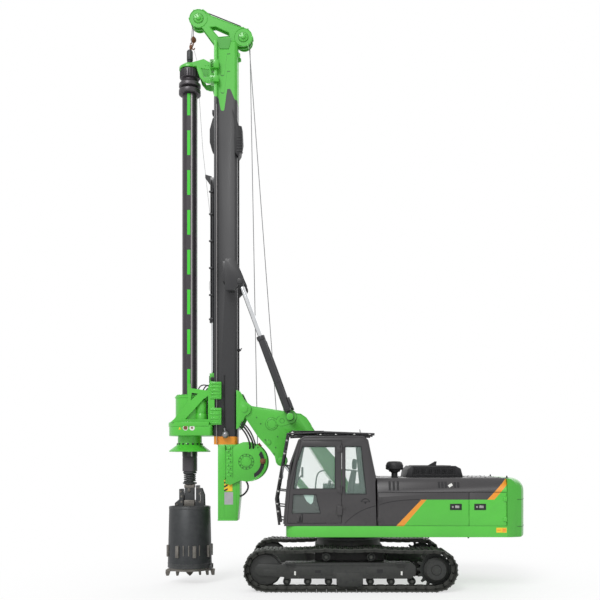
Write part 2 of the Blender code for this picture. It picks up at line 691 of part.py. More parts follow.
def build_house():
    side = BODY_HALF_WIDTH
    shoulder = [(-side, DECK_TOP + SEAT), (-side, SHOULDER_Z), (-side + 0.06, HOUSE_TOP - 0.10)]
    section = shoulder + [(-side + 0.16, HOUSE_TOP), (side - 0.16, HOUSE_TOP)]
    section += [(side - 0.06, HOUSE_TOP - 0.10), (side, SHOULDER_Z), (side, DECK_TOP + SEAT)]
    house = slab([(y, z) for y, z in section], HOUSE_REAR, HOUSE_FRONT)
    house.matrix_world = Matrix.Rotation(-pi / 2, 4, "Z")
    house = settle(house)
    for front, rear, sign, hinge in DOOR_BAYS.values():
        edges = sorted((sign * (side - BAY_DEPTH), sign * (side + 0.1)))
        bay = box((rear + 0.06, front - 0.06), edges, (PANEL_BOTTOM + 0.05, SHOULDER_Z - 0.06))
        rebate_edges = sorted((sign * (side - PANEL - SEAT), sign * (side + 0.1)))
        rebate = box((rear - 0.006, front + 0.006), rebate_edges, (PANEL_BOTTOM - 0.006, SHOULDER_Z))
        house = cut(house, bay, rebate)
    engine_bay = box((HOOD_REAR + 0.10, HOOD_FRONT - 0.10), (-HOOD_HALF_WIDTH + 0.06, HOOD_HALF_WIDTH - 0.06),
                     (DECK_TOP + 0.06, HOUSE_TOP + 0.1))
    return cut(house, engine_bay)


def build_service_door(front, rear, sign, hinge):
    outer = sign * BODY_HALF_WIDTH
    faces = sorted((outer - sign * PANEL, outer))
    door = box((rear, front), faces, (PANEL_BOTTOM, SHOULDER_Z - 0.006))
    inward = 1 if hinge == rear else -1
    for z in (1.50, 1.92):
        knuckle_y = outer + sign * DOOR_HINGE_OUT
        knuckle = cylinder(0.014, (hinge, knuckle_y, z - 0.05), (hinge, knuckle_y, z + 0.05), 12)
        leaf_x = sorted((hinge - inward * 0.002, hinge + inward * 0.06))
        leaf_y = sorted((outer - sign * 0.004, outer + sign * (DOOR_HINGE_OUT + 0.002)))
        door = join(door, box(leaf_x, leaf_y, (z - 0.04, z + 0.04)), knuckle)
    return door


def build_hood():
    # The raised engine hood: a lid with sloping sides over the engine bay
    half = HOOD_HALF_WIDTH
    base = HOUSE_TOP + PIN_GAP
    outline = [(HOOD_REAR, base), (HOOD_FRONT, base), (HOOD_FRONT - 0.03, HOOD_TOP - 0.09)]
    outline += [(HOOD_FRONT - 0.12, HOOD_TOP), (HOOD_REAR + 0.16, HOOD_TOP), (HOOD_REAR + 0.05, HOOD_TOP - 0.06)]
    hood = slab(outline, -half, half)
    inner = [(HOOD_REAR + 0.04, base - 0.05), (HOOD_FRONT - 0.04, base - 0.05), (HOOD_FRONT - 0.07, HOOD_TOP - 0.11)]
    inner += [(HOOD_FRONT - 0.15, HOOD_TOP - 0.035), (HOOD_REAR + 0.19, HOOD_TOP - 0.035)]
    inner += [(HOOD_REAR + 0.09, HOOD_TOP - 0.09)]
    hood = cut(hood, slab(inner, -half + 0.035, half - 0.035))
    slots = []
    for number in range(6):
        x = HOOD_FRONT - 0.22 - 0.15 * number
        slots.append(box((x - 0.05, x + 0.05), (-half - 0.1, half + 0.1), (HOOD_TOP - 0.17, HOOD_TOP - 0.07)))
    return cut(hood, *slots)


def build_counterweight():
    side, front = BODY_HALF_WIDTH, WEIGHT_FRONT
    edge = asin((side - 0.14) / TAIL_RADIUS) * 180 / pi
    outline = [(front, -side), (front, side)]
    outline += arc((-3.42, side - 0.14), 0.14, 90, 150, 4)
    outline += arc((0, 0), TAIL_RADIUS, 180 - edge, 180 + edge, 10)
    outline += arc((-3.42, -side + 0.14), 0.14, 210, 270, 4)
    weight = slab(outline, DECK_BOTTOM, WEIGHT_TOP, "Z")
    bevel = weight.modifiers.new("Bevel", "BEVEL")
    bevel.width = WEIGHT_EDGE
    bevel.segments = 2
    bevel.limit_method = "ANGLE"
    bevel.angle_limit = radians(60)
    return settle(weight)


def build_tank():
    low, high = -BODY_HALF_WIDTH, -DECK_NOTCH_HALF - 0.04
    outline = [(HOUSE_FRONT + 0.016, DECK_TOP + SEAT), (TANK_FRONT, DECK_TOP + SEAT)]
    outline += [(TANK_FRONT, 1.75), (TANK_FRONT - 0.30, 1.75), (TANK_FRONT - 0.30, TANK_TOP)]
    outline += [(HOUSE_FRONT + 0.016, TANK_TOP)]
    tank = slab(outline, low, high)
    cap = cylinder(0.07, (0.10, -0.95, TANK_TOP - 0.02), (0.10, -0.95, TANK_TOP + 0.06), 16)
    return join(tank, cap)


def build_precleaner():
    x, y, base = -0.97, 0.70, HOUSE_TOP + SEAT
    profile = [(0.0, base), (0.07, base), (0.07, base + 0.10), (0.12, base + 0.13), (0.12, base + 0.16)]
    profile += [(0.18, base + 0.17), (0.18, base + 0.28), (0.15, base + 0.34), (0.0, base + 0.35)]
    profile = [(r, z - base) for r, z in profile]
    return turned(profile, (x, y, base), "Z", 20)


# Boom, mast and their cylinders

BOOM_OUTLINE = (
    (2.291, 3.936), (1.428, 3.805), (1.163, 3.757), (1.045, 3.744), (0.925, 3.658), (0.833, 3.525),
    (0.778, 3.406), (0.527, 3.03), (0.293, 2.774), (-0.16, 1.93),
)
BOOM_UNDER = (
    (0.10, 1.72), (0.293, 2.18), (0.472, 2.40), (0.867, 3.03), (1.22, 3.389), (1.30, 3.35), (1.398, 3.113),
    (1.435, 2.88),
)
BOOM_NOSE = ((1.62, 2.80), (1.735, 2.955), (1.987, 3.233), (2.252, 3.632))


def boom_outline():
    outline = list(BOOM_OUTLINE)
    outline += arc(BOOM_FOOT, 0.155, 150, 330, 6)
    outline += list(BOOM_UNDER)
    outline += arc(LUFF_EYE, 0.12, 160, 340, 6)
    outline += list(BOOM_NOSE)
    outline += arc(MAST_PIVOT, 0.13, -60, 70, 5)
    return outline


def build_boom():
    half, plate = BOOM_HALF_WIDTH, BOOM_PLATE
    outline = boom_outline()
    boom = slab(outline, half - plate, half)
    other = slab(outline, -half, -half + plate)
    ties = [
        box((1.05, 1.20), (-half + 0.01, half - 0.01), (3.52, 3.66)),
        box((0.62, 0.78), (-half + 0.01, half - 0.01), (2.90, 3.04)),
        box((1.96, 2.10), (-half + 0.01, half - 0.01), (3.52, 3.68)),
        pin(0.07, (0.22, 2.38), (-half + 0.01, half - 0.01)),
        pin(0.075, MAST_PIVOT, (-half + 0.01, half - 0.01)),
    ]
    boom = join(boom, other, *ties)
    hole = pin(bore(PIN_RADIUS + 0.01), BOOM_FOOT, (-1, 1))
    boom = cut(boom, hole)
    eye_in = TILT_CYLINDER_Y - EYE_HALF - PIN_GAP
    eye_out = TILT_CYLINDER_Y + EYE_HALF + PIN_GAP
    for sign in (-1, 1):
        boss = pin(0.14, TILT_FOOT, sorted((sign * (half - 0.01), sign * (half + 0.012))), 16)
        spacer = pin(0.062, TILT_FOOT, sorted((sign * half, sign * eye_in)))
        stub = pin(PIN_RADIUS, TILT_FOOT, sorted((sign * (half - 0.02), sign * (eye_out + 0.02))))
        cap = pin(0.07, TILT_FOOT, sorted((sign * eye_out, sign * (eye_out + 0.025))))
        boom = join(boom, boss, spacer, stub, cap)
        lug_in = LUFF_CYLINDER_Y + 0.05 + PIN_GAP
        web = pin(0.10, LUFF_EYE, sorted((sign * lug_in, sign * (half - 0.01))))
        boom = join(boom, web)
    aux_in = AUX_HALF_WIDTH + PIN_GAP
    for sign in (-1, 1):
        seat = pin(0.11, AUX_WINCH, sorted((sign * aux_in, sign * (half - 0.01))))
        boom = join(boom, seat)
    return boom


def spool(place, drum, flange, half, flange_plate=0.02):
    # A winch drum with two flanges, its shaft along Y
    profile = [(0.0, -half), (flange, -half), (flange, -half + flange_plate), (drum, -half + flange_plate)]
    profile += [(drum, half - flange_plate), (flange, half - flange_plate), (flange, half), (0.0, half)]
    return turned(profile, (place[0], 0, place[1]), "Y", 20)


def sheave(place, y):
    # A grooved rope wheel with its shaft along Y
    rim, half = SHEAVE_RADIUS, SHEAVE_HALF_WIDTH
    hub = half + 0.008
    profile = [(0.0, -hub), (0.06, -hub), (0.07, -0.012), (rim - 0.04, -0.012), (rim, -half)]
    profile += [(rim - 0.02, 0.0), (rim, half), (rim - 0.04, 0.012), (0.07, 0.012), (0.06, hub), (0.0, hub)]
    return turned(profile, (place[0], y, place[1]), "Y", 14)


def build_mast():
    # The lattice-free box mast with two guide rails along its front edges
    chamfer = 0.05
    half = MAST_HALF_WIDTH
    section = [(MAST_REAR + chamfer, -half), (MAST_FRONT, -half), (MAST_FRONT, half), (MAST_REAR + chamfer, half)]
    section += [(MAST_REAR, half - chamfer), (MAST_REAR, -half + chamfer)]
    mast = slab(section, MAST_BOTTOM, MAST_TOP, "Z")
    rail = [(RAIL_FRONT - RAIL_DEPTH, -RAIL_HALF_WIDTH), (RAIL_FRONT, -RAIL_HALF_WIDTH)]
    rail += [(RAIL_FRONT, -RAIL_HALF_WIDTH + 0.10), (RAIL_FRONT - RAIL_DEPTH, -RAIL_HALF_WIDTH + 0.10)]
    left = slab(rail, MAST_BOTTOM + 0.001, MAST_TOP - 0.001, "Z")
    mast = join(mast, mirrored(left), left)
    bracket = [(2.70, 6.42), (2.70, 7.10), (2.50, 7.10), (2.40, 6.95), (2.30, 6.72)]
    bracket += arc(TILT_EYE, 0.095, 135, 290, 6)
    bracket += [(2.50, 6.42)]
    eye_in = TILT_CYLINDER_Y - EYE_HALF - PIN_GAP
    eye_out = TILT_CYLINDER_Y + EYE_HALF + PIN_GAP
    for sign in (-1, 1):
        inner = slab(bracket, *sorted((sign * (eye_in - 0.025), sign * eye_in)))
        outer = slab(bracket, *sorted((sign * eye_out, sign * (eye_out + 0.025))))
        web = box((2.50, 2.70), sorted((sign * (half - 0.02), sign * (eye_out + 0.01))), (6.80, 7.09))
        mast = join(mast, web, inner, outer)
    return mast


def head_outline():
    outline = arc(FRONT_SHEAVE, HOUSING_RADIUS, -110, 115, 10)
    outline += [(3.06, 12.60), (2.39, 12.34)]
    outline += arc(REAR_SHEAVE, HOUSING_RADIUS, 95, 265, 8)
    outline += [(MAST_REAR - 0.02, MAST_TOP - 0.02), (MAST_REAR, MAST_TOP + SEAT), (2.96, MAST_TOP + SEAT)]
    return outline


HEAD_WINDOW = ((3.05, 12.33), (2.66, 12.18), (2.74, 12.12), (2.90, 12.12))


def build_head():
    half, plate = HEAD_HALF_WIDTH, HEAD_PLATE
    head = slab(head_outline(), half - plate, half, holes=(HEAD_WINDOW,))
    other = mirrored(head)
    foot = box((2.53, 2.95), (-half + 0.01, half - 0.01), (MAST_TOP + SEAT, MAST_TOP + 0.09))
    head = join(head, foot, other)
    spacer_high = AUX_SHEAVE_Y + SHEAVE_HALF_WIDTH + 0.008 + PIN_GAP
    main_low = MAIN_SHEAVE_Y - SHEAVE_HALF_WIDTH - 0.008 - PIN_GAP
    main_high = MAIN_SHEAVE_Y + SHEAVE_HALF_WIDTH + 0.008 + PIN_GAP
    aux_low = AUX_SHEAVE_Y - SHEAVE_HALF_WIDTH - 0.008 - PIN_GAP
    for place in (FRONT_SHEAVE, REAR_SHEAVE):
        for near, far in ((main_high, half - 0.01), (aux_low, -half + 0.01)):
            head = join(head, pin(0.057, place, sorted((near, far))))
    divider = [(3.36, 12.50), (3.30, 12.60), (3.06, 12.52), (2.39, 12.24), (2.30, 12.16), (2.36, 12.08)]
    divider += [(2.62, 12.00), (2.90, 12.00), (3.10, 12.30)]
    head = join(head, slab(divider, spacer_high, main_low))
    brace = box((2.60, 2.88), (-half + 0.01, half - 0.01), (11.96, 12.06))
    return join(head, brace)


def build_mast_foot():
    # The green foot box below the mast, and the plates that carry the main winch behind it
    half = MAST_HALF_WIDTH
    top = MAST_BOTTOM - SEAT
    outline = [(2.45, FOOT_BOTTOM), (2.88, FOOT_BOTTOM), (2.88, top), (2.47, top), (2.40, 2.90), (2.40, 1.90)]
    foot = slab(outline, -half, half)
    foot = cut(foot, pin(MAIN_FLANGE_RADIUS + 0.015, MAIN_WINCH, (-half - 0.1, half + 0.1), 20))
    guard = arc(MAIN_WINCH, 0.44, 20, 290, 14)
    guard += [(2.62, 2.17), (2.73, 2.38), (2.73, 2.98)]
    inner = WINCH_HALF_WIDTH + PIN_GAP
    for sign in (-1, 1):
        side = slab(guard, *sorted((sign * inner, sign * (inner + WINCH_PLATE))))
        shim = box((2.615, 2.71), sorted((sign * (half - 0.02), sign * (inner + 0.01))), (2.20, 2.94))
        foot = join(foot, shim, side)
    tie = tube([(1.86, -inner - 0.01, 2.55), (1.86, inner + 0.01, 2.55)], 0.02)
    return join(foot, tie)


def build_pivot_bracket():
    # Ears on the mast's rear face that turn on the boom's head pin
    rear = MAST_REAR - SEAT
    ears = [(rear, 3.40), (rear, 4.26), (2.37, 4.22)]
    ears += arc(MAST_PIVOT, 0.15, 100, 260, 8)
    ears += [(2.37, 3.46)]
    near = BOOM_HALF_WIDTH + PIN_GAP
    bracket = box((rear - 0.035, rear), (-near - 0.04, near + 0.04), (3.42, 4.24))
    for sign in (-1, 1):
        bracket = join(bracket, slab(ears, *sorted((sign * near, sign * (near + 0.045)))))
        bracket = join(bracket, pin(0.08, MAST_PIVOT, sorted((sign * (near + 0.02), sign * (near + 0.07)))))
    return bracket


def along(start, end, distance):
    direction = (Vector(end) - Vector(start)).normalized()
    return Vector(start) + direction * distance


def build_barrel(foot, eye, y, radius, length, rod, eye_half, pin_radius):
    # A cylinder barrel: an eye bored for its pin, and a bore open at the gland end
    start = Vector((foot[0], y, foot[1]))
    end = Vector((eye[0], y, eye[1]))
    barrel = cylinder(radius, along(start, end, 0.125), along(start, end, length), 12)
    gland = cylinder(radius + 0.014, along(start, end, length - 0.09), along(start, end, length + 0.004), 12)
    head = pin(EYE_RADIUS, foot, (y - eye_half, y + eye_half))
    neck = cylinder(eye_half - 0.002, start, along(start, end, 0.15), 12)
    barrel = join(barrel, gland, neck, head)
    hollow = cylinder(rod + PIN_GAP, along(start, end, 0.20), along(start, end, length + 0.1), 12)
    hole = pin(bore(pin_radius), foot, (y - 1, y + 1))
    return cut(barrel, hollow, hole)


def build_rod(foot, eye, y, rod, inserted, eye_half):
    start = Vector((foot[0], y, foot[1]))
    end = Vector((eye[0], y, eye[1]))
    length = (end - start).length
    bar = cylinder(rod, along(start, end, inserted), along(start, end, length - 0.13), 12)
    neck = cylinder(min(rod, eye_half) - 0.003, along(start, end, length - 0.16), along(start, end, length - 0.03), 12)
    return join(bar, neck, pin(EYE_RADIUS - 0.003, eye, (y - eye_half, y + eye_half)))


def build_crowd_barrel():
    barrel = cylinder(0.055, (CROWD_X, 0, 5.79), (CROWD_X, 0, 8.87), 16)
    gland = cylinder(0.068, (CROWD_X, 0, 5.785), (CROWD_X, 0, 5.90), 16)
    anchor = box((MAST_FRONT + SEAT, CROWD_X + 0.05), (-0.05, 0.05), (8.78, 9.02))
    stay = box((MAST_FRONT + SEAT, CROWD_X), (-0.04, 0.04), (5.95, 6.10))
    hollow = cylinder(0.029 + PIN_GAP, (CROWD_X, 0, 5.7), (CROWD_X, 0, 8.72), 16)
    return cut(join(barrel, gland, anchor, stay), hollow)


# Carriage, rotary drive, kelly and bucket

SIDE_PLATE_OUTLINE = (
    (2.94, GEARBOX_DECK + SEAT), (3.95, GEARBOX_DECK + SEAT), (3.86, 3.62), (3.53, 4.00), (3.53, 4.40), (3.46, 4.40), (3.46, 4.30),
    (3.10, 4.25), (3.04, 4.44), (2.94, 4.44),
)
SIDE_PLATE_WINDOWS = (
    ((3.44, 4.20), (3.30, 4.18), (3.46, 4.03)),
    ((3.08, 4.14), (3.08, 3.58), (3.55, 3.58), (3.18, 4.06)),
)


def build_carriage():
    outer = SIDE_PLATE_Y + SIDE_PLATE / 2
    inner = outer - SIDE_PLATE
    side = slab(list(SIDE_PLATE_OUTLINE), inner, outer, holes=SIDE_PLATE_WINDOWS)
    frame = join(side, mirrored(side))
    rail_out = RAIL_HALF_WIDTH + PIN_GAP
    rail_back = RAIL_FRONT - RAIL_DEPTH - PIN_GAP
    for low, high in GUIDE_BLOCKS_Z:
        front = box((RAIL_FRONT + PIN_GAP, GUIDE_FRONT), (-outer + 0.001, outer - 0.001), (low, high))
        frame = join(frame, front)
        for sign in (-1, 1):
            cheek = box((GUIDE_REAR, GUIDE_FRONT - 0.01), sorted((sign * rail_out, sign * (outer + 0.02))),
                        (low + 0.0011, high - 0.0011))
            lip = box((GUIDE_REAR + 0.001, rail_back), sorted((sign * (rail_out - 0.045), sign * (outer + 0.01))),
                      (low + 0.0021, high - 0.0021))
            frame = join(frame, cheek, lip)
    rod_seat = box((CROWD_X - 0.05, CROWD_X + 0.06), (-0.07, 0.07), (4.40, 4.66))
    return join(frame, rod_seat)


def build_gearbox():
    rear, low, high = GEARBOX
    half = GEARBOX_HALF_WIDTH
    outline = [(rear, -half + 0.04), (rear + 0.04, -half), (DRILL_X, -half)]
    outline += arc((DRILL_X, 0), half, -80, 80, 10)
    outline += [(DRILL_X, half), (rear + 0.04, half), (rear, half - 0.04)]
    housing = slab(outline, low, GEARBOX_DECK, "Z")
    drum = cylinder(DRUM_RADIUS, (DRILL_X, 0, low + 0.05), (DRILL_X, 0, DRUM_TOP), 24)
    lip = cylinder(DRUM_RADIUS + 0.014, (DRILL_X, 0, DRUM_TOP - 0.05), (DRILL_X, 0, DRUM_TOP - 0.02), 24)
    housing = join(housing, drum, lip)
    for sign in (-1, 1):
        motor = cylinder(0.135, (3.25, sign * 0.18, high - 0.12), (3.25, sign * 0.18, 4.02), 16)
        motor_top = cylinder(0.09, (3.25, sign * 0.18, 4.00), (3.25, sign * 0.18, 4.10), 12)
        housing = join(housing, motor, motor_top)
    hole = cylinder(bore(SLEEVE_RADIUS, 24), (DRILL_X, 0, low - 0.2), (DRILL_X, 0, DRUM_TOP + 0.2), 24)
    return cut(housing, hole)


def build_sleeve():
    low, high = SKIRT_BOTTOM, DRUM_TOP + 0.02
    shelf = GEARBOX[1] - PIN_GAP
    profile = [
        (SLEEVE_BORE, low + 0.12), (SKIRT_RADIUS - 0.03, low), (SKIRT_RADIUS, low), (SKIRT_RADIUS, low + 0.03),
        (0.275, low + 0.17), (0.265, shelf), (SLEEVE_RADIUS, shelf), (SLEEVE_RADIUS, high), (SLEEVE_BORE, high),
    ]
    sleeve = turned(profile, (DRILL_X, 0, 0), "Z", 24)
    return sleeve


def build_kelly_guide():
    low, high = GUIDE_ARM_Z
    rail_out = RAIL_HALF_WIDTH + PIN_GAP
    rail_back = RAIL_FRONT - RAIL_DEPTH - PIN_GAP
    outer = rail_out + 0.05
    halves = []
    for sign in (-1, 1):
        front = box((RAIL_FRONT + PIN_GAP, GUIDE_FRONT), sorted((sign * GUIDE_SLOT, sign * outer)), (low, high))
        cheek = box((GUIDE_REAR, GUIDE_FRONT - 0.01), sorted((sign * rail_out, sign * outer)), (low + 0.001, high - 0.001))
        lip = box((GUIDE_REAR + 0.001, rail_back), sorted((sign * (rail_out - 0.045), sign * (outer - 0.01))),
                  (low + 0.002, high - 0.002))
        arm = slab([(GUIDE_FRONT - 0.02, low + 0.01), (3.28, 11.435), (3.52, 11.45), (3.52, 11.53), (3.30, 11.61),
                    (GUIDE_FRONT - 0.02, high - 0.03)], *sorted((sign * 0.17, sign * 0.21)),
                   holes=([(3.09, 11.32), (3.24, 11.46), (3.24, 11.54), (3.09, 11.62)],))
        halves.append(join(front, cheek, lip, arm))
    crown_top = KELLY_CROWN[1] + PIN_GAP
    ring = turned([(CORE_RADIUS + 0.02, crown_top), (0.235, crown_top), (0.235, crown_top + 0.08),
                   (0.12, crown_top + 0.12), (CORE_RADIUS + 0.02, crown_top + 0.12)], (DRILL_X, 0, 0), "Z")
    return join(ring, *halves)


def build_kelly_outer():
    bore_radius = KELLY_RADIUS - KELLY_WALL
    low = KELLY_BOTTOM
    f0, f1, flange = KELLY_FLANGE
    c0, c1, crown = KELLY_CROWN
    profile = [(bore_radius, low), (KELLY_RADIUS, low), (KELLY_RADIUS, f0), (flange, f0 + 0.02)]
    profile += [(flange, f0 + 0.10), (KELLY_RADIUS + 0.02, f0 + 0.13), (flange, f1 - 0.11), (flange, f1 - 0.03)]
    profile += [(crown - 0.04, f1), (crown, c0 + 0.05), (crown, c1), (bore_radius, c1)]
    return turned(profile, (DRILL_X, 0, 0), "Z")


def coil(centre, radius, low, high, turns, steps=8):
    count = int(turns * steps)
    points = []
    for i in range(count + 1):
        a = 2 * pi * i / steps
        points.append((centre + radius * cos(a), radius * sin(a), low + (high - low) * i / count))
    return points


def build_kelly_core():
    # The inner kelly bar, its shock spring and the square stub that drives the bucket
    collar = KELLY_RADIUS - KELLY_WALL - PIN_GAP
    low = BAIL_TOP + SEAT
    profile = [(0.0, low), (0.10, low), (0.16, low + 0.012), (0.16, low + 0.03), (0.075, low + 0.04)]
    profile += [(0.075, 2.46), (collar, 2.50), (collar, 2.60), (CORE_RADIUS, 2.62), (CORE_RADIUS, CORE_TOP - 0.03)]
    profile += [(CORE_RADIUS - 0.02, CORE_TOP), (0.0, CORE_TOP)]
    core = turned(profile, (DRILL_X, 0, 0), "Z", ROUND)
    spring = tube(coil(DRILL_X, SPRING_RADIUS - 0.024, low + 0.045, 2.44, 3.5), 0.018, 1)
    tray = cylinder(0.148, (DRILL_X, 0, low + 0.02), (DRILL_X, 0, low + 0.055), 16)
    stay = cylinder(0.148, (DRILL_X, 0, 2.425), (DRILL_X, 0, 2.47), 16)
    return join(core, tray, stay, spring)


def build_bucket():
    wall, radius = BUCKET_WALL, BUCKET_RADIUS
    top, low = BUCKET_TOP, BUCKET_BOTTOM
    profile = [(radius - wall, low), (radius + 0.012, low), (radius + 0.012, low + 0.10), (radius - 0.006, low + 0.12)]
    profile += [(radius - 0.026, top - 0.05), (radius - 0.016, top - 0.05), (radius - 0.016, top), (radius - wall - 0.026, top)]
    bucket = turned(profile, (DRILL_X, 0, 0), "Z", 24)
    reach = radius - 0.04
    for half_x, half_y in ((reach, 0.025), (0.025, reach)):
        cross = box((DRILL_X - half_x, DRILL_X + half_x), (-half_y, half_y), (top - 0.10, top + 0.07))
        bucket = join(bucket, cross)
    bail = [(DRILL_X - 0.30, top + 0.02), (DRILL_X + 0.30, top + 0.02), (DRILL_X + 0.30, top + 0.10)]
    bail += [(DRILL_X + 0.14, BAIL_TOP), (DRILL_X - 0.14, BAIL_TOP), (DRILL_X - 0.30, top + 0.10)]
    window = [(DRILL_X - 0.20, top + 0.09), (DRILL_X + 0.20, top + 0.09), (DRILL_X + 0.10, BAIL_TOP - 0.12),
              (DRILL_X - 0.10, BAIL_TOP - 0.12)]
    for y in (-0.13, 0.13):
        bucket = join(bucket, slab(bail, y - 0.02, y + 0.02, holes=(window,)))
    socket = box((DRILL_X - 0.13, DRILL_X + 0.13), (-0.13, 0.13), (BAIL_TOP - 0.11, BAIL_TOP))
    base = box((DRILL_X - 0.29, DRILL_X + 0.29), (-0.14, 0.14), (top + 0.03, top + 0.071))
    bucket = join(bucket, base, socket)
    for side in range(4):
        a = pi / 4 + side * pi / 2
        lug = box((radius - 0.02, radius + 0.055), (-0.05, 0.05), (low + 0.20, low + 0.46))
        lug.matrix_world = Matrix.Translation((DRILL_X, 0, 0)) @ Matrix.Rotation(a, 4, "Z")
        bucket = join(bucket, settle(lug))
    hinge_x = DRILL_X - radius - 0.012
    for y in (-0.15, 0.15):
        ear = box((hinge_x - 0.015, hinge_x + 0.03), (y - 0.02, y + 0.02), (low - 0.045, low + 0.06))
        bucket = join(bucket, ear)
    return bucket


def build_gate():
    # The bucket's bottom gate with its cutting teeth and pilot point
    top = BUCKET_BOTTOM - PIN_GAP
    radius = BUCKET_RADIUS
    gate = cylinder(radius - 0.03, (DRILL_X, 0, top - 0.06), (DRILL_X, 0, top), 24)
    gate = join(gate, cylinder(radius * 0.55, (DRILL_X, 0, top - 0.09), (DRILL_X, 0, top - 0.05), 20))
    lug = box((DRILL_X - radius - 0.01, DRILL_X - radius + 0.09), (-0.13 + PIN_GAP, 0.13 - PIN_GAP),
              (top - 0.045, top - 0.004))
    gate = join(gate, lug)
    for number in range(GATE_TEETH):
        share = 0.22 + 0.78 * number / (GATE_TEETH - 1)
        for sign in (-1, 1):
            x = DRILL_X + sign * (TOOTH_REACH - 0.05) * share
            y = sign * 0.06
            tooth = [(x - 0.035, top - 0.055), (x + 0.035, top - 0.055), (x + 0.022 * sign + 0.012, top - 0.18)]
            tooth += [(x + 0.022 * sign - 0.012, top - 0.18)]
            gate = join(gate, slab(tooth, y - 0.03, y + 0.03))
    for sign in (-1, 1):
        bar = box(sorted((DRILL_X + sign * 0.06, DRILL_X + sign * (TOOTH_REACH - 0.04))),
                  (sign * 0.06 - 0.045, sign * 0.06 + 0.045), (top - 0.085, top - 0.03))
        gate = join(gate, bar)
    pilot = cylinder(0.075, (DRILL_X, 0, top - 0.07), (DRILL_X, 0, PILOT_TIP), 12, end_radius=0.012)
    return join(gate, pilot)


clear_scene()
parts = new_collection("rotary_piling_rig")
shapes = new_collection("shapes")
machine = bpy.data.objects.new("machine", None)
machine.location = (SLEW_X, 0, 0)
parts.objects.link(machine)
axes = {}
axis_places = {}

AXIS_TABLE = (
    # body, axis place about the slewing axis
    ("undercarriage", (0, 0, 0)),
    ("upper", (0, 0, RING_SEAT_TOP)),
    ("cab_door", (DOOR_REAR_X, DOOR_HINGE_Y, 2.20)),
    ("hood", (HOOD_REAR, 0, HOUSE_TOP + 0.03)),
    ("boom", (BOOM_FOOT[0], 0, BOOM_FOOT[1])),
    ("luff_barrels", (LUFF_FOOT[0], 0, LUFF_FOOT[1])),
    ("luff_rods", (LUFF_EYE[0], 0, LUFF_EYE[1])),
    ("aux_winch", (AUX_WINCH[0], 0, AUX_WINCH[1])),
    ("mast", (MAST_PIVOT[0], 0, MAST_PIVOT[1])),
    ("tilt_barrels", (TILT_FOOT[0], 0, TILT_FOOT[1])),
    ("tilt_rods", (TILT_EYE[0], 0, TILT_EYE[1])),
    ("main_winch", (MAIN_WINCH[0], 0, MAIN_WINCH[1])),
    ("front_sheave", (FRONT_SHEAVE[0], 0, FRONT_SHEAVE[1])),
    ("rear_sheave", (REAR_SHEAVE[0], 0, REAR_SHEAVE[1])),
    ("carriage", (CROWD_X, 0, 4.60)),
    ("drive_sleeve", (DRILL_X, 0, SKIRT_BOTTOM)),
    ("kelly_guide", (DRILL_X, 0, KELLY_CROWN[1])),
    ("kelly_outer", (DRILL_X, 0, KELLY_BOTTOM)),
    ("kelly_core", (DRILL_X, 0, BAIL_TOP)),
    ("bucket_gate", (DRILL_X - BUCKET_RADIUS - 0.012, 0, BUCKET_BOTTOM - 0.03)),
)
for body_name, place in AXIS_TABLE:
    add_axis(body_name, place)
for door_name, (front, rear, sign, hinge) in DOOR_BAYS.items():
    add_axis(door_name, (hinge, sign * (BODY_HALF_WIDTH + DOOR_HINGE_OUT), 1.70))

# Undercarriage
finish("car_body", build_car_body(), "undercarriage", "black")
track_frame = build_track_frame()
sprocket = build_sprocket()
finish("track_frame_right", mirrored(track_frame), "undercarriage", "track")
finish("track_frame_left", track_frame, "undercarriage", "track")
finish("sprocket_right", mirrored(sprocket), "undercarriage", "black")
finish("sprocket_left", sprocket, "undercarriage", "black")
finish("track_left", build_track(1), "undercarriage", "track")
finish("track_right", build_track(-1), "undercarriage", "track")

# Upper structure
finish("platform", build_platform(), "upper", "lime")
cab_shell, cab_panes = build_cab()
finish("cab_shell", cab_shell, "upper", "graphite")
for pane_name, pane_solid in cab_panes.items():
    finish(pane_name, pane_solid, "upper", "glass")
cab_door, door_pane, low_pane = build_cab_door()
finish("cab_door", cab_door, "cab_door", "graphite")
finish("door_pane", door_pane, "cab_door", "glass")
finish("door_low_pane", low_pane, "cab_door", "glass")
finish("cab_guard", build_cab_guard(), "upper", "black")
finish("operator_seat", build_seat(), "upper", "cloth")
finish("machinery_house", build_house(), "upper", "graphite")
for door_name, bay in DOOR_BAYS.items():
    finish(door_name, build_service_door(*bay), door_name, "lime")
finish("engine_hood", build_hood(), "hood", "black")
engine = box((-2.20, -1.50), (-0.42, 0.42), (DECK_TOP + 0.06 + SEAT, 2.30))
finish("engine_block", engine, "upper", "steel")
finish("counterweight", build_counterweight(), "upper", "lime")
finish("fuel_tank", build_tank(), "upper", "graphite")
finish("precleaner", build_precleaner(), "upper", "black")

# Boom and cylinders
finish("boom", build_boom(), "boom", "lime")
aux_drum = spool(AUX_WINCH, AUX_DRUM_RADIUS, 0.19, AUX_HALF_WIDTH)
finish("aux_winch_drum", aux_drum, "aux_winch", "black")
luff_barrel = build_barrel(LUFF_FOOT, LUFF_EYE, LUFF_CYLINDER_Y, 0.075, 1.02, 0.042, 0.05, PIN_RADIUS)
luff_rod = build_rod(LUFF_FOOT, LUFF_EYE, LUFF_CYLINDER_Y, 0.042, 0.55, 0.05)
finish("luff_barrel_right", mirrored(luff_barrel), "luff_barrels", "lime")
finish("luff_barrel_left", luff_barrel, "luff_barrels", "lime")
finish("luff_rod_right", mirrored(luff_rod), "luff_rods", "chrome")
finish("luff_rod_left", luff_rod, "luff_rods", "chrome")
tilt_barrel = build_barrel(TILT_FOOT, TILT_EYE, TILT_CYLINDER_Y, 0.078, 1.87, 0.05, EYE_HALF, PIN_RADIUS)
tilt_rod = build_rod(TILT_FOOT, TILT_EYE, TILT_CYLINDER_Y, 0.05, 1.0, EYE_HALF)
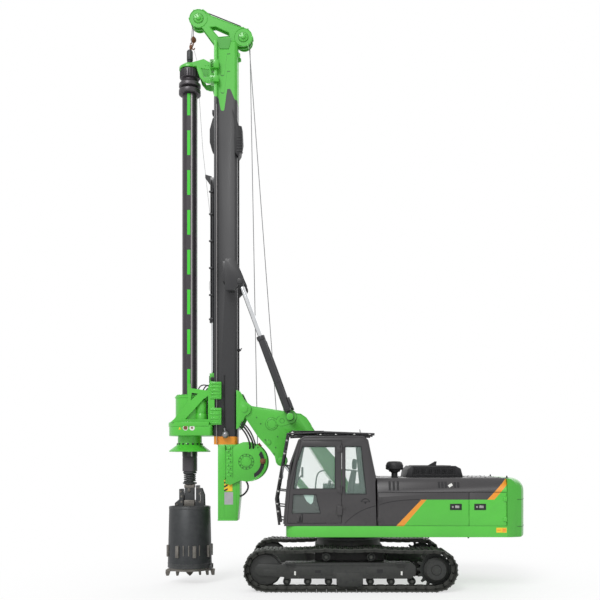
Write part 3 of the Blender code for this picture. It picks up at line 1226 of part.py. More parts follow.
finish("tilt_barrel_right", mirrored(tilt_barrel), "tilt_barrels", "black")
finish("tilt_barrel_left", tilt_barrel, "tilt_barrels", "black")
finish("tilt_rod_right", mirrored(tilt_rod), "tilt_rods", "chrome")
finish("tilt_rod_left", tilt_rod, "tilt_rods", "chrome")

# Mast
finish("mast", build_mast(), "mast", "graphite")
finish("mast_head", build_head(), "mast", "lime")
finish("mast_foot", build_mast_foot(), "mast", "lime")
finish("pivot_bracket", build_pivot_bracket(), "mast", "black")
finish("crowd_barrel", build_crowd_barrel(), "mast", "black")
main_drum = spool(MAIN_WINCH, MAIN_DRUM_RADIUS, MAIN_FLANGE_RADIUS, WINCH_HALF_WIDTH)
finish("main_winch_drum", main_drum, "main_winch", "black")
for sheave_body, place in (("front_sheave", FRONT_SHEAVE), ("rear_sheave", REAR_SHEAVE)):
    finish(sheave_body + "_main", sheave(place, MAIN_SHEAVE_Y), sheave_body, "steel")
    finish(sheave_body + "_aux", sheave(place, AUX_SHEAVE_Y), sheave_body, "steel")

# Carriage, kelly and bucket
finish("carriage_frame", build_carriage(), "carriage", "lime")
finish("rotary_gearbox", build_gearbox(), "carriage", "lime")
crowd_rod = cylinder(0.029, (CROWD_X, 0, 4.66 + SEAT), (CROWD_X, 0, 7.60), 16)
finish("crowd_rod", crowd_rod, "carriage", "chrome")
finish("drive_sleeve", build_sleeve(), "drive_sleeve", "black")
finish("kelly_guide", build_kelly_guide(), "kelly_guide", "lime")
finish("kelly_outer", build_kelly_outer(), "kelly_outer", "graphite")
finish("kelly_core", build_kelly_core(), "kelly_core", "steel")
finish("drilling_bucket", build_bucket(), "kelly_core", "steel")
finish("bucket_gate", build_gate(), "bucket_gate", "steel")
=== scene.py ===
# Rotary piling rig on crawler tracks: finishes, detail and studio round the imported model.
# Lengths are metres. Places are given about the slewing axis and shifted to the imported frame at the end.
import json
import math
from functools import partialmethod

import bpy
from mathutils import Matrix, Vector


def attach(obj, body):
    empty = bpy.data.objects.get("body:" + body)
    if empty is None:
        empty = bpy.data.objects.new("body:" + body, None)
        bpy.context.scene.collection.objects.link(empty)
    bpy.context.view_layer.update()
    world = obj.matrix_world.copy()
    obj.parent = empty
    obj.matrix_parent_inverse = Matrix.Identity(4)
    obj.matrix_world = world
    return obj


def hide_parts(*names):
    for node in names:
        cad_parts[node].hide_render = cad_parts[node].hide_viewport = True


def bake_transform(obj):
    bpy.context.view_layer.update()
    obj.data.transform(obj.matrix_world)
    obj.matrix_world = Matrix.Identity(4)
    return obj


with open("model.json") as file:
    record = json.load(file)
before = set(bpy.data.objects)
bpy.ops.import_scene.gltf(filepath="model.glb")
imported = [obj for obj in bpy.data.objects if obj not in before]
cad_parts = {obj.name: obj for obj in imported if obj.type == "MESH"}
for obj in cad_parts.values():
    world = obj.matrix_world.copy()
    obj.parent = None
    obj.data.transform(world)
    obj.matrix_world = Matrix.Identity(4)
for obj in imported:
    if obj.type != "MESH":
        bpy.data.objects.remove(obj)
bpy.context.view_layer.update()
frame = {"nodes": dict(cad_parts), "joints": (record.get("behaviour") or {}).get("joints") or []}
slewPlace = Vector(next(joint["pos_m"] for joint in frame["joints"] if joint["name"] == "slew"))
shiftX = Matrix.Translation((slewPlace.x, 0, 0))
print("frame loaded:", len(frame["nodes"]), "nodes")


# Tools for modelling

def calm():
    if bpy.context.mode != "OBJECT":
        bpy.ops.object.mode_set(mode="OBJECT")
    bpy.ops.object.select_all(action="DESELECT")


def pick(*pieces):
    calm()
    for piece in pieces:
        piece.select_set(True)
    bpy.context.view_layer.objects.active = pieces[0]
    return pieces[0]


def setPlace(piece, matrix):
    # puts a place into the mesh and leaves the object at the origin
    piece.matrix_world = matrix @ piece.matrix_world
    pick(piece)
    bpy.ops.object.transform_apply(location=True, rotation=True, scale=True)
    return piece


def modify(piece, kind, **settings):
    modifier = piece.modifiers.new(kind.title(), kind)
    for key, value in settings.items():
        setattr(modifier, key, value)
    pick(piece)
    bpy.ops.object.modifier_apply(modifier=modifier.name)
    return piece


def soften(piece, width, segments=2, angle=30):
    if not width:
        return piece
    return modify(piece, "BEVEL", width=width, segments=segments, limit_method="ANGLE",
        angle_limit=math.radians(angle))


def editMesh(piece, *steps):
    # runs edit mode operators on the whole piece, one after another
    pick(piece)
    bpy.ops.object.mode_set(mode="EDIT")
    for step, settings in steps:
        bpy.ops.mesh.select_all(action="SELECT")
        step(**settings)
    bpy.ops.object.mode_set(mode="OBJECT")
    return piece


def placed(name, data):
    piece = bpy.data.objects.new(name, data)
    bpy.context.scene.collection.objects.link(piece)
    return piece


def newMesh(vertices, edges, faces):
    mesh = bpy.data.meshes.new("sketch")
    mesh.from_pydata(vertices, edges, faces)
    return placed("sketch", mesh)


def block(x, y, z, edge=0.006, segments=2):
    # a box between pairs of limits, its edges rounded
    calm()
    bpy.ops.mesh.primitive_cube_add(size=1)
    piece = bpy.context.object
    size = Matrix.Diagonal([max(pair) - min(pair) for pair in (x, y, z)]).to_4x4()
    setPlace(piece, Matrix.Translation([(min(pair) + max(pair)) / 2 for pair in (x, y, z)]) @ size)
    return soften(piece, edge, segments)


def bar(start, end, radius, edge=0.003, sides=32, endRadius=None):
    # a round bar between two points
    calm()
    axis = Vector(end) - Vector(start)
    last = radius if endRadius is None else endRadius
    bpy.ops.mesh.primitive_cone_add(vertices=sides, radius1=radius, radius2=last, depth=axis.length)
    piece = bpy.context.object
    turn = axis.to_track_quat("Z", "Y").to_matrix().to_4x4()
    setPlace(piece, Matrix.Translation((Vector(start) + Vector(end)) / 2) @ turn)
    return soften(piece, edge, angle=40)


def pinY(place, low, high, radius, edge=0.003, sides=32):
    return bar((place[0], low, place[1]), (place[0], high, place[1]), radius, edge, sides)


def spun(profile, centre=(0, 0, 0), axis="Z", sides=64):
    # spins a profile of radius and height about an axis through centre
    points = [(radius, 0, height) for radius, height in profile]
    piece = newMesh(points, [(i, i + 1) for i in range(len(points) - 1)], [])
    editMesh(piece, (bpy.ops.mesh.spin, {"steps": sides, "angle": 2 * math.pi, "center": (0, 0, 0),
        "axis": (0, 0, 1)}), (bpy.ops.mesh.remove_doubles, {"threshold": 0.0001}),
        (bpy.ops.mesh.normals_make_consistent, {"inside": False}))
    turn = Matrix.Rotation(-math.pi / 2, 4, "X") if axis == "Y" else Matrix()
    if axis == "X":
        turn = Matrix.Rotation(math.pi / 2, 4, "Y")
    return setPlace(piece, Matrix.Translation(centre) @ turn)


def hoop(profile, centre=(0, 0, 0), sides=96):
    # a ring whose profile closes on its first point
    return spun([*profile, profile[0]], centre, sides=sides)


def plate(outline, low, high, edge=0.004, segments=1, flat=False):
    # an outline in X and Z between two Y planes, or in X and Y between two Z planes when flat
    if flat:
        points, rise = [(x, y, low) for x, y in outline], (0, 0, high - low)
    else:
        points, rise = [(x, low, z) for x, z in outline], (0, high - low, 0)
    piece = newMesh(points, [], [range(len(points))])
    editMesh(piece, (bpy.ops.mesh.extrude_region_move, {"TRANSFORM_OT_translate": {"value": rise}}),
        (bpy.ops.mesh.normals_make_consistent, {"inside": False}))
    return soften(piece, edge, segments)


def cutPlate(outline, holes, low, high, edge=0.003):
    # an outline in X and Z with openings in it, between two Y planes
    curve = bpy.data.curves.new("plate", "CURVE")
    curve.dimensions = "2D"
    curve.fill_mode = "BOTH"
    curve.extrude = abs(high - low) / 2
    for line in (outline, *holes):
        spline = curve.splines.new("POLY")
        spline.points.add(len(line) - 1)
        spline.use_cyclic_u = True
        for point, place in zip(spline.points, line):
            point.co = (*place, 0, 1)
    pick(placed("plate", curve))
    bpy.ops.object.convert(target="MESH")
    piece = editMesh(bpy.context.object, (bpy.ops.mesh.remove_doubles, {"threshold": 0.00005}),
        (bpy.ops.mesh.dissolve_limited, {"angle_limit": math.radians(1.0)}),
        (bpy.ops.mesh.normals_make_consistent, {"inside": False}))
    setPlace(piece, Matrix.Translation((0, (low + high) / 2, 0)) @ Matrix.Rotation(math.pi / 2, 4, "X"))
    return soften(piece, edge, 1)


def hose(points, radius, smooth=True, sides=3, resolution=5):
    # a hose, wire or bent tube along its points
    curve = bpy.data.curves.new("hose", "CURVE")
    curve.dimensions = "3D"
    curve.bevel_depth = radius
    curve.bevel_resolution = sides
    curve.use_fill_caps = True
    spline = curve.splines.new("NURBS" if smooth else "POLY")
    spline.points.add(len(points) - 1)
    for point, place in zip(spline.points, points):
        point.co = (*place, 1)
    if smooth:
        spline.order_u = min(4, len(points))
        spline.use_endpoint_u = True
        spline.resolution_u = resolution
    pick(placed("hose", curve))
    bpy.ops.object.convert(target="MESH")
    return editMesh(bpy.context.object, (bpy.ops.mesh.remove_doubles, {"threshold": 0.00005}))


def bead(points, radius, sides=1):
    # a weld bead, bar or taut line of straight stretches
    return hose(points, radius, smooth=False, sides=sides)


def joined(pieces):
    pieces = list(pieces)
    pick(*pieces)
    if len(pieces) > 1:
        bpy.ops.object.join()
    return bpy.context.object


def twinOf(piece, matrix):
    twin = placed(piece.name, piece.data.copy())
    twin.data.transform(matrix)
    if matrix.determinant() < 0:
        twin.data.flip_normals()
    return twin


def copies(template, matrices):
    made = [twinOf(template, matrix) for matrix in matrices]
    bpy.data.objects.remove(template)
    return joined(made)


def bothSides(*pieces):
    # the pieces and their mirror image across the machine's middle, as one
    piece = joined(pieces)
    return joined([piece, twinOf(piece, Matrix.Diagonal((1, -1, 1, 1)))])


def around(piece, count, place, start=0.0, step=None):
    # copies of a piece turned about an upright line through place
    angles = [start + number * (step or 2 * math.pi / count) for number in range(count)]
    return copies(piece, [Matrix.Translation(place) @ Matrix.Rotation(angle, 4, "Z") for angle in angles])


def boltHeads(places, size=0.014, height=0.01, normal=(0, 1, 0)):
    # hexagon heads on washers, standing on their places and facing along normal
    calm()
    bpy.ops.mesh.primitive_cylinder_add(vertices=12, radius=size * 1.25, depth=height * 0.3,
        location=(0, 0, height * 0.15))
    washer = bpy.context.object
    bpy.ops.mesh.primitive_cone_add(vertices=6, radius1=size, radius2=size * 0.86, depth=height,
        location=(0, 0, height * 0.7))
    head = joined([bpy.context.object, washer])
    setPlace(head, Matrix())
    turn = Vector(normal).to_track_quat("Z", "Y").to_matrix().to_4x4()
    return copies(head, [Matrix.Translation(place) @ turn for place in places])


def ringPlaces(centre, radius, count, start=0.0, axis="Y"):
    # points round a circle that lies across axis
    places = []
    for number in range(count):
        a = start + 2 * math.pi * number / count
        u, v = radius * math.cos(a), radius * math.sin(a)
        offset = (u, 0, v) if axis == "Y" else (u, v, 0)
        places.append(Vector(centre) + Vector(offset))
    return places


def arc(centre, radius, start, end, steps=10):
    angles = [math.radians(start + (end - start) * i / steps) for i in range(steps + 1)]
    return [(centre[0] + radius * math.cos(a), centre[1] + radius * math.sin(a)) for a in angles]


def painted(piece, name, material, angle=38, shift=True):
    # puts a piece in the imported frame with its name, finish and smooth shading
    if shift:
        setPlace(piece, shiftX)
    piece.name = piece.data.name = name
    piece.data.materials.clear()
    piece.data.materials.append(material)
    pick(piece)
    bpy.ops.object.shade_smooth_by_angle(angle=math.radians(angle))
    return piece


def finish(piece, name, body, material, *nodes, slot=None, angle=38, shift=True):
    painted(piece, name, material, angle, shift)
    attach(piece, body)
    if nodes:
        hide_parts(*nodes)
    return piece


def fittings(name, body, material, *pieces, nodes=(), slot=None):
    return finish(joined(pieces), name, body, material, *nodes, slot=slot)


def dressed(node, body, material, edge, segments=2, drawn=None, slot=None):
    # a node's own shape with its facets merged and its edges rounded
    piece = placed(node, frame["nodes"][node].data.copy())
    editMesh(piece,
             (bpy.ops.mesh.remove_doubles, {"threshold": 0.00002}),
             (bpy.ops.mesh.dissolve_limited, {"angle_limit": math.radians(1.0)}))
    if drawn:
        for vertex in piece.data.vertices:
            vertex.co.x = drawn(vertex.co.x - slewPlace.x, vertex.co.z) + slewPlace.x
    soften(piece, edge, segments, 28)
    return finish(piece, "fine_" + node, body, material, node, slot=slot, shift=False)


# Shader maths

class Wire:
    # a shader socket that stands in sums; plain numbers join in as they are
    def __init__(self, tree, socket=None):
        self.tree = tree
        self.socket = socket

    def node(self, kind, settings=None, sockets=None, output=0):
        made = self.tree.nodes.new(kind)
        for key, value in (settings or {}).items():
            if key == "stops":
                fillRamp(made.color_ramp, value)
            else:
                setattr(made, key, value)
        for key, value in (sockets or {}).items():
            if isinstance(value, Wire):
                self.tree.links.new(value.socket, made.inputs[key])
            else:
                made.inputs[key].default_value = value
        return Wire(self.tree, made.outputs[output])

    def maths(self, operation, other):
        return self.node("ShaderNodeMath", {"operation": operation}, {0: self, 1: other})

    def __rsub__(self, other):
        return self.node("ShaderNodeMath", {"operation": "SUBTRACT"}, {0: other, 1: self})

    def __abs__(self):
        return self.node("ShaderNodeMath", {"operation": "ABSOLUTE"}, {0: self})


for method, operation in (("__add__", "ADD"), ("__radd__", "ADD"), ("__sub__", "SUBTRACT"),
                          ("__mul__", "MULTIPLY"), ("__rmul__", "MULTIPLY"), ("__truediv__", "DIVIDE"),
                          ("__mod__", "FLOORED_MODULO"), ("__gt__", "GREATER_THAN"), ("__lt__", "LESS_THAN")):
    setattr(Wire, method, partialmethod(Wire.maths, operation))


def fillRamp(ramp, stops):
    while len(ramp.elements) > 1:
        ramp.elements.remove(ramp.elements[-1])
    for number, (place, value) in enumerate(stops):
        stop = ramp.elements[0] if number == 0 else ramp.elements.new(place)
        stop.position = place
        stop.color = (value, value, value, 1)


def linear(red, green, blue):
    # an sRGB colour in 0 to 255 as the linear colour that shaders take
    def one(value):
        share = value / 255
        return share / 12.92 if share <= 0.04045 else ((share + 0.055) / 1.055) ** 2.4
    return (one(red), one(green), one(blue), 1)


def shaded(colour, by):
    return (*[channel * by for channel in colour[:3]], 1)


def mixed(mask, first, second):
    return mask.node("ShaderNodeMix", {"data_type": "RGBA"}, {0: mask, 6: first, 7: second}, 2)


def noise(place, scale, detail=3.0, rough=0.55):
    return place.node("ShaderNodeTexNoise", {}, {"Vector": place, "Scale": scale, "Detail": detail,
        "Roughness": rough})


def between(value, low, high):
    return (value > low) * (value < high)


def openMaterial(name):
    material = bpy.data.materials.new(name)
    material.use_nodes = True
    tree = material.node_tree
    wire = Wire(tree)
    place = wire.node("ShaderNodeTexCoord", output="Object")
    split = wire.node("ShaderNodeSeparateXYZ", {}, {0: place})
    x, y, z = [Wire(tree, socket) for socket in split.socket.node.outputs]
    return material, tree.nodes["Principled BSDF"], place, x - slewPlace.x, y, z


def plug(shader, values):
    for name, value in values.items():
        if isinstance(value, Wire):
            shader.id_data.links.new(value.socket, shader.inputs[name])
        else:
            shader.inputs[name].default_value = value


def bumped(place, height, strength, distance):
    return place.node("ShaderNodeBump", {}, {"Height": height, "Strength": strength,
        "Distance": distance})


colours = {
    "lime": (80, 192, 58),
    "limeDeep": (34, 110, 26),
    "dash": (60, 205, 40),
    "graphite": (52, 50, 52),
    # the next colour is a lighter graphite: painted highlight for the house band under the shoulder
    "graphiteHighlight": (60, 58, 60),
    "mastGrey": (46, 46, 48),
    "black": (24, 24, 27),
    "iron": (36, 40, 38),
    "ironWorn": (108, 108, 102),
    "steel": (44, 47, 50),
    "steelWorn": (104, 104, 102),
    "orange": (235, 150, 35),
    "dust": (150, 142, 128),
    "rubberAndPaintedShade": (24, 24, 26),
    "cloth": (38, 38, 41),
    "mint": (205, 234, 222),
    "chrome": (222, 224, 226),
    "rope": (128, 128, 130),
    "bronze": (122, 78, 52),
    "white": (232, 232, 228),
    "yellow": (245, 200, 45),
    "plateGrey": (176, 176, 178),
}
colours = {name: linear(*levels) for name, levels in colours.items()}


def patchy(place, base, patch, low):
    # the base colour with a little shade in soft patches
    shade = place.node("ShaderNodeValToRGB", {"stops": ((0.3, low), (0.7, 1.0))}, {0: patch})
    return place.node("ShaderNodeMix", {"data_type": "RGBA", "blend_type": "MULTIPLY"},
                      {0: 1.0, 6: base, 7: shade}, 2)


def paint(name, colour, roughness=0.36, coat=0.25, pattern=None, dusty=0.1):
    # enamel: a little shade across the panels, orange peel, and dust that settles low down
    material, shader, place, x, y, z = openMaterial(name)
    base = pattern(x, y, z) if pattern else colour
    patch = noise(place, 0.9, 4.0)
    low = place.node("ShaderNodeMapRange", {"clamp": True}, {0: z, 1: 0.2, 2: 2.4, 3: 1.0, 4: 0.0})
    grit = noise(place, 14.0, 6.0, 0.7)
    dust = low * dusty * (grit > 0.42) * grit
    plug(shader, {
        "Base Color": mixed(dust, patchy(place, base, patch, 0.9), colours["dust"]),
        "Roughness": patch * 0.14 + (roughness - 0.07) + dust * 0.8,
        "Coat Weight": coat,
        "Coat Roughness": 0.12,
        "Normal": bumped(place, noise(place, 160.0, 2.0), 0.05, 0.0006),
    })
    return material


def castMetal(name, colour, worn, roughness=0.55, metallic=0.55, wear=0.5, grain=70.0):
    # cast or rolled metal: rough grain, and edges rubbed bright
    material, shader, place = openMaterial(name)[:3]
    grit = noise(place, 9.0, 6.0, 0.65)
    point = place.node("ShaderNodeNewGeometry", output="Pointiness")
    edge = place.node("ShaderNodeMapRange", {"clamp": True}, {0: point, 1: 0.51, 2: 0.57, 3: 0.0, 4: 1.0})
    rubbed = edge * wear * grit
    patch = mixed(grit, shaded(colour, 0.78), shaded(colour, 1.15))
    plug(shader, {
        "Base Color": mixed(rubbed, patch, worn),
        "Metallic": metallic,
        "Roughness": grit * 0.22 + (roughness - 0.11) - rubbed * 0.2,
        "Normal": bumped(place, noise(place, grain, 5.0), 0.22, 0.0015),
    })
    return material


def plainFinish(name, colour, roughness, metallic=0.0, grain=200.0, depth=0.1, pattern=None, coat=0.0):
    material, shader, place, x, y, z = openMaterial(name)
    base = pattern(x, y, z) if pattern else colour
    patch = noise(place, 6.0, 4.0)
    plug(shader, {
        "Base Color": patchy(place, base, patch, 0.86),
        "Metallic": metallic,
        "Roughness": patch * 0.12 + roughness - 0.06,
        "Coat Weight": coat,
        "Normal": bumped(place, noise(place, grain, 3.0), depth, 0.0008),
    })
    return material


def glassFinish(name, colour, alpha):
    material, shader, place = openMaterial(name)[:3]
    plug(shader, {
        "Base Color": colour,
        "Roughness": noise(place, 3.0) * 0.05 + 0.02,
        "Alpha": alpha,
    })
    return material


def lineAt(z, start, end):
    # the X of a straight edge between two points in X and Z, at height z
    slope = (end[0] - start[0]) / (end[1] - start[1])
    return (z - start[1]) * slope + start[0]


stripes = {
    "split": 1.905,
    "bandTop": 2.06,
    "lowFront": ((-0.95, 1.363), (-1.463, 1.899)),
    "lowRear": ((-1.107, 1.363), (-1.569, 1.899)),
    "highFront": ((-2.837, 1.909), (-3.217, 2.313)),
    "highRear": ((-2.982, 1.909), (-3.244, 2.207)),
}


def housePattern(x, y, z):
    # dark front with a painted highlight on the band under the shoulder, one orange stripe below the split
    # and one above it, and lime behind them
    side = abs(y) > 1.02
    upper = z > stripes["split"]
    lower = 1 - upper
    lime = upper * (x < lineAt(z, *stripes["highRear"])) + lower * (x < lineAt(z, *stripes["lowRear"]))
    front = upper * (x < lineAt(z, *stripes["highFront"])) + lower * (x < lineAt(z, *stripes["lowFront"]))
    # the band between the split and the shoulder is half lighter graphite: painted highlight on the shoulder
    # step
    band = upper * (z < stripes["bandTop"]) * 0.5
    dark = mixed(band, colours["graphite"], colours["graphiteHighlight"])
    striped = mixed(front * side, dark, colours["orange"])
    return mixed(lime * side, striped, colours["lime"])


mastPaint = {
    "bandTop": 3.245,
    "base": 10.4,
    "rise": 0.55,
    "front": 2.98,
    "depth": 0.5,
    "repeat": 0.385,
}


def mastPattern(x, y, z):
    # lime runs down into the grey in one wave, and its outline shows twice more above
    share = (mastPaint["front"] - x) / mastPaint["depth"]
    wave = x.node("ShaderNodeValToRGB", {"stops": (
        (0.0, 0.58), (0.19, 0.58), (0.23, 0.53), (0.32, 0.1), (0.36, 0.055), (0.45, 0.055), (0.48, 0.09),
        (0.61, 0.92), (0.74, 0.93), (0.78, 0.86), (0.94, 0.5), (1.0, 0.5))}, {0: share})
    edge = wave * mastPaint["rise"] + mastPaint["base"]
    lime = z > edge
    inside = between(share, 0.21, 0.74) * (abs(y) > 0.2)
    fine = 0.0
    for step in (1, 2):
        fine = fine + (abs(z - edge - step * mastPaint["repeat"]) < 0.011)
    top = mixed(inside * fine, colours["lime"], colours["limeDeep"])
    lower = mixed(z < mastPaint["bandTop"], colours["mastGrey"], colours["orange"])
    return mixed(lime, lower, top)


def keyPattern(x, y, z):
    # green dashes down the kelly's drive keys
    share = ((10.905 - z) / 0.881) % 1.0
    return mixed((share < 0.62) * (z > 2.9), colours["graphite"], colours["dash"])


def hazardPattern(x, y, z):
    # black bars across the front part of the yellow plate
    share = ((x * 0.5 + z) / 0.085) % 1.0
    bars = (share < 0.5) * (x > 2.665)
    return mixed(bars, colours["yellow"], colours["black"])


limePaint = paint("lime enamel", colours["lime"])
graphitePaint = paint("graphite enamel", colours["graphite"], 0.42)
cabPaint = paint("cab enamel", colours["graphite"], 0.4)
housePaint = paint("house enamel", None, 0.36, pattern=housePattern)
mastEnamel = paint("mast enamel", None, 0.5, 0.08, mastPattern)
blackPaint = paint("black enamel", colours["black"], 0.48, 0.1)
orangePaint = paint("orange enamel", colours["orange"])
keyPaint = paint("kelly key paint", None, 0.45, 0.0, keyPattern)
hazardPaint = plainFinish("hazard film", None, 0.5, pattern=hazardPattern)
trackIron = castMetal("track steel", colours["iron"], colours["ironWorn"], 0.58, 0.5, 0.7)
frameIron = paint("frame enamel", linear(34, 37, 36), 0.46, 0.05, dusty=0.06)
toolSteel = castMetal("tool steel", colours["steel"], colours["steelWorn"], 0.5, 0.45, 0.5)
toothSteel = castMetal("tooth steel", linear(70, 66, 60), linear(150, 146, 140), 0.55, 0.6, 0.9)
kellySteel = castMetal("kelly steel", linear(66, 62, 66), linear(130, 128, 130), 0.42, 0.55, 0.4, 40.0)
chrome = plainFinish("hard chrome", colours["chrome"], 0.14, 1.0, 300.0, 0.03)
# zinc for latches and clips, and painted highlight for the strips on the bucket head
zincAndHighlight = plainFinish("zinc plate", linear(170, 170, 168), 0.35, 0.9, 120.0, 0.1)
silverPaint = plainFinish("silver casing", linear(150, 150, 152), 0.34, 0.7, 90.0, 0.1)
# black rubber for hoses, seals and the wiper, and painted shade in the frame, sleeve and winch slots and
# under the swage
rubberAndPaintedShade = plainFinish("black rubber", colours["rubberAndPaintedShade"], 0.62, 0.0, 90.0, 0.2)
# moulded black parts, and painted shade behind the hood grilles
mouldedBlackAndShade = plainFinish("moulded black and painted shade", colours["black"], 0.55, 0.0, 240.0, 0.25)
cloth = plainFinish("seat cloth", colours["cloth"], 0.9, 0.0, 420.0, 0.6)
ropeSteel = plainFinish("wire rope", colours["rope"], 0.45, 0.75, 500.0, 0.5)
bronze = plainFinish("rusty hook", colours["bronze"], 0.7, 0.2, 60.0, 0.5)
glass = glassFinish("tinted glass", colours["mint"], 0.11)
lowGlass = glassFinish("low glass", colours["mint"], 0.05)
paleMint = plainFinish("pale lining", linear(196, 222, 212), 0.5)
weightPaint = paint("counterweight enamel", linear(66, 168, 48), 0.4)
deepLime = paint("deep lime enamel", colours["limeDeep"], 0.42)
shadeLime = paint("shaded lime enamel", linear(62, 164, 46), 0.42)
bracketPaint = paint("bracket enamel", linear(40, 40, 42), 0.44)
cylinderPaint = paint("cylinder enamel", linear(44, 44, 47), 0.34)
# rubbed steel for the rails' worn faces, and painted highlight for the strips along the rail edges and beside
# the kelly keys
wearAndHighlight = plainFinish("rubbed steel and painted highlight", linear(150, 146, 146), 0.36, 0.5)
lens = plainFinish("lamp lens", linear(225, 228, 230), 0.12, 0.0, 60.0, 0.2, coat=0.6)
whiteFilm = plainFinish("white film", colours["white"], 0.5)
yellowFilm = plainFinish("yellow film", colours["yellow"], 0.5)
greyPlate = plainFinish("grey plate", colours["plateGrey"], 0.4, 0.5)
print("finishes made")


# Studio

studio = {
    "cameraX": 0.511,
    "distance": 18.5,
    "height": 2.71,
    "lens": 49.7,
    "shift": (-0.0317, 0.268),
    "floorRadius": 26.0,
    "ambient": 0.6,
    "key": 1.55,
    "keyTilt": (48, 0, 158),
    "fill": 0.55,
    "fillTilt": (55, 0, -20),
}


def makeStudio():
    camera = placed("camera", bpy.data.cameras.new("camera"))
    camera.location = (studio["cameraX"], studio["distance"], studio["height"])
    camera.rotation_euler = (math.pi / 2, 0, math.pi)
    camera.data.lens = studio["lens"]
    camera.data.sensor_width = 36
    camera.data.shift_x, camera.data.shift_y = studio["shift"]
    camera.data.clip_end = 200
    bpy.context.scene.camera = camera
    for name, strength, tilt, size in (("key", studio["key"], studio["keyTilt"], 22),
            ("fill", studio["fill"], studio["fillTilt"], 60)):
        lamp = bpy.data.lights.new(name, "SUN")
        lamp.energy = strength
        lamp.angle = math.radians(size)
        placed(name, lamp).rotation_euler = [math.radians(angle) for angle in tilt]
    world = bpy.data.worlds.new("studio")
    world.use_nodes = True
    bpy.context.scene.world = world
    wire = Wire(world.node_tree)
    path = wire.node("ShaderNodeLightPath")
    seen = [Wire(world.node_tree, path.socket.node.outputs[name]) for name in ("Is Camera Ray",
        "Is Glossy Ray", "Is Transmission Ray")]
    shown = wire.node("ShaderNodeMath", {"operation": "MAXIMUM"}, {0: seen[0], 1: seen[2]})
    shown = wire.node("ShaderNodeMath", {"operation": "MAXIMUM"}, {0: shown, 1: seen[1] * 0.75})
    strength = wire.node("ShaderNodeMix", {}, {0: shown, 2: studio["ambient"], 3: 1.0})
    background = world.node_tree.nodes["Background"]
    background.inputs["Color"].default_value = (1, 1, 1, 1)
    world.node_tree.links.new(strength.socket, background.inputs["Strength"])
    view = bpy.context.scene.view_settings
    view.view_transform = "Standard"


def makeFloor():
    calm()
    bpy.ops.mesh.primitive_circle_add(vertices=96, radius=studio["floorRadius"], fill_type="NGON")
    floor = bpy.context.object
    floor.name = "studio_floor"
    material, shader, place = openMaterial("pale floor")[:3]
    plug(shader, {
        "Base Color": (0.93, 0.93, 0.94, 1),
        "Roughness": 0.85,
        "Specular IOR Level": 0.1,
    })
    away = place.node("ShaderNodeVectorMath", {"operation": "LENGTH"}, {0: place}, "Value")
    fade = place.node("ShaderNodeMapRange", {"clamp": True, "interpolation_type": "SMOOTHSTEP"},
        {0: away, 1: 2.0, 2: 9.0, 3: 0.62, 4: 1.0})
    glow = place.node("ShaderNodeEmission", {}, {"Color": (1, 1, 1, 1), "Strength": 1.0})
    path = place.node("ShaderNodeLightPath")
    camera = Wire(material.node_tree, path.socket.node.outputs["Is Camera Ray"])
    both = place.node("ShaderNodeMixShader", {}, {0: fade * camera})
    links = material.node_tree.links
    links.new(shader.outputs[0], both.socket.node.inputs[1])
    links.new(glow.socket, both.socket.node.inputs[2])
    links.new(both.socket, material.node_tree.nodes["Material Output"].inputs["Surface"])
    floor.data.materials.append(material)


makeStudio()
makeFloor()
print("studio ready")


# Undercarriage

tracks = {
    "gauge": 2.39,
    "shoeWidth": 0.6,
    "shoes": 48,
    "radius": 0.45,
    "sprocketX": -1.775,
    "idlerX": 1.77,
    "carrierX": (-0.43, 0.5),
    "carrierTop": 0.805,
    "sag": 0.022,
    "grouser": 0.026,
    "plate": 0.02,
    "link": 0.078,
}


def trackLine():
    # the grousers' tip line round idler and sprocket, sagging between the carrier rollers
    spec = tracks
    r = spec["radius"]
    line = [(spec["sprocketX"], 0.0), (spec["idlerX"], 0.0)]
    line += arc((spec["idlerX"], r), r, -90, 90, 24)[1:]
    top = spec["carrierTop"] + spec["grouser"] + spec["plate"] + spec["link"]
    rear, front = spec["carrierX"]
    supports = [(spec["idlerX"], 2 * r), (front, top), (rear, top), (spec["sprocketX"], 2 * r)]
    for (x0, z0), (x1, z1) in zip(supports, supports[1:]):
        for step in range(1, 13):
            t = step / 12
            line.append((x0 + (x1 - x0) * t, z0 + (z1 - z0) * t - 4 * spec["sag"] * t * (1 - t)))
    line += arc((spec["sprocketX"], r), r, 90, 270, 24)[1:-1]
    return line


def shoePlaces(line, count, inset):
    # the middle and heading of each shoe, on a line sunk by inset below the tips
    closed = line + line[:1]
    lengths = [0.0]
    for (x0, z0), (x1, z1) in zip(closed, closed[1:]):
        lengths.append(lengths[-1] + math.hypot(x1 - x0, z1 - z0))

    def at(distance):
        distance %= lengths[-1]
        number = next(i for i in range(len(closed) - 1) if lengths[i + 1] >= distance)
        t = (distance - lengths[number]) / (lengths[number + 1] - lengths[number])
        (x0, z0), (x1, z1) = closed[number], closed[number + 1]
        return Vector((x0 + (x1 - x0) * t, 0, z0 + (z1 - z0) * t))

    pitch = lengths[-1] / count
    places = []
    for number in range(count):
        start, end = at(number * pitch), at((number + 1) * pitch)
        along = (end - start).normalized()
        outward = Vector((along.z, 0, -along.x))
        middle = (start + end) / 2 - outward * inset
        turn = Matrix((along, (0, 1, 0), outward)).transposed().to_4x4()
        if turn.determinant() < 0:
            turn = Matrix((along, (0, -1, 0), outward)).transposed().to_4x4()
        places.append(Matrix.Translation(middle) @ turn)
    return places, pitch


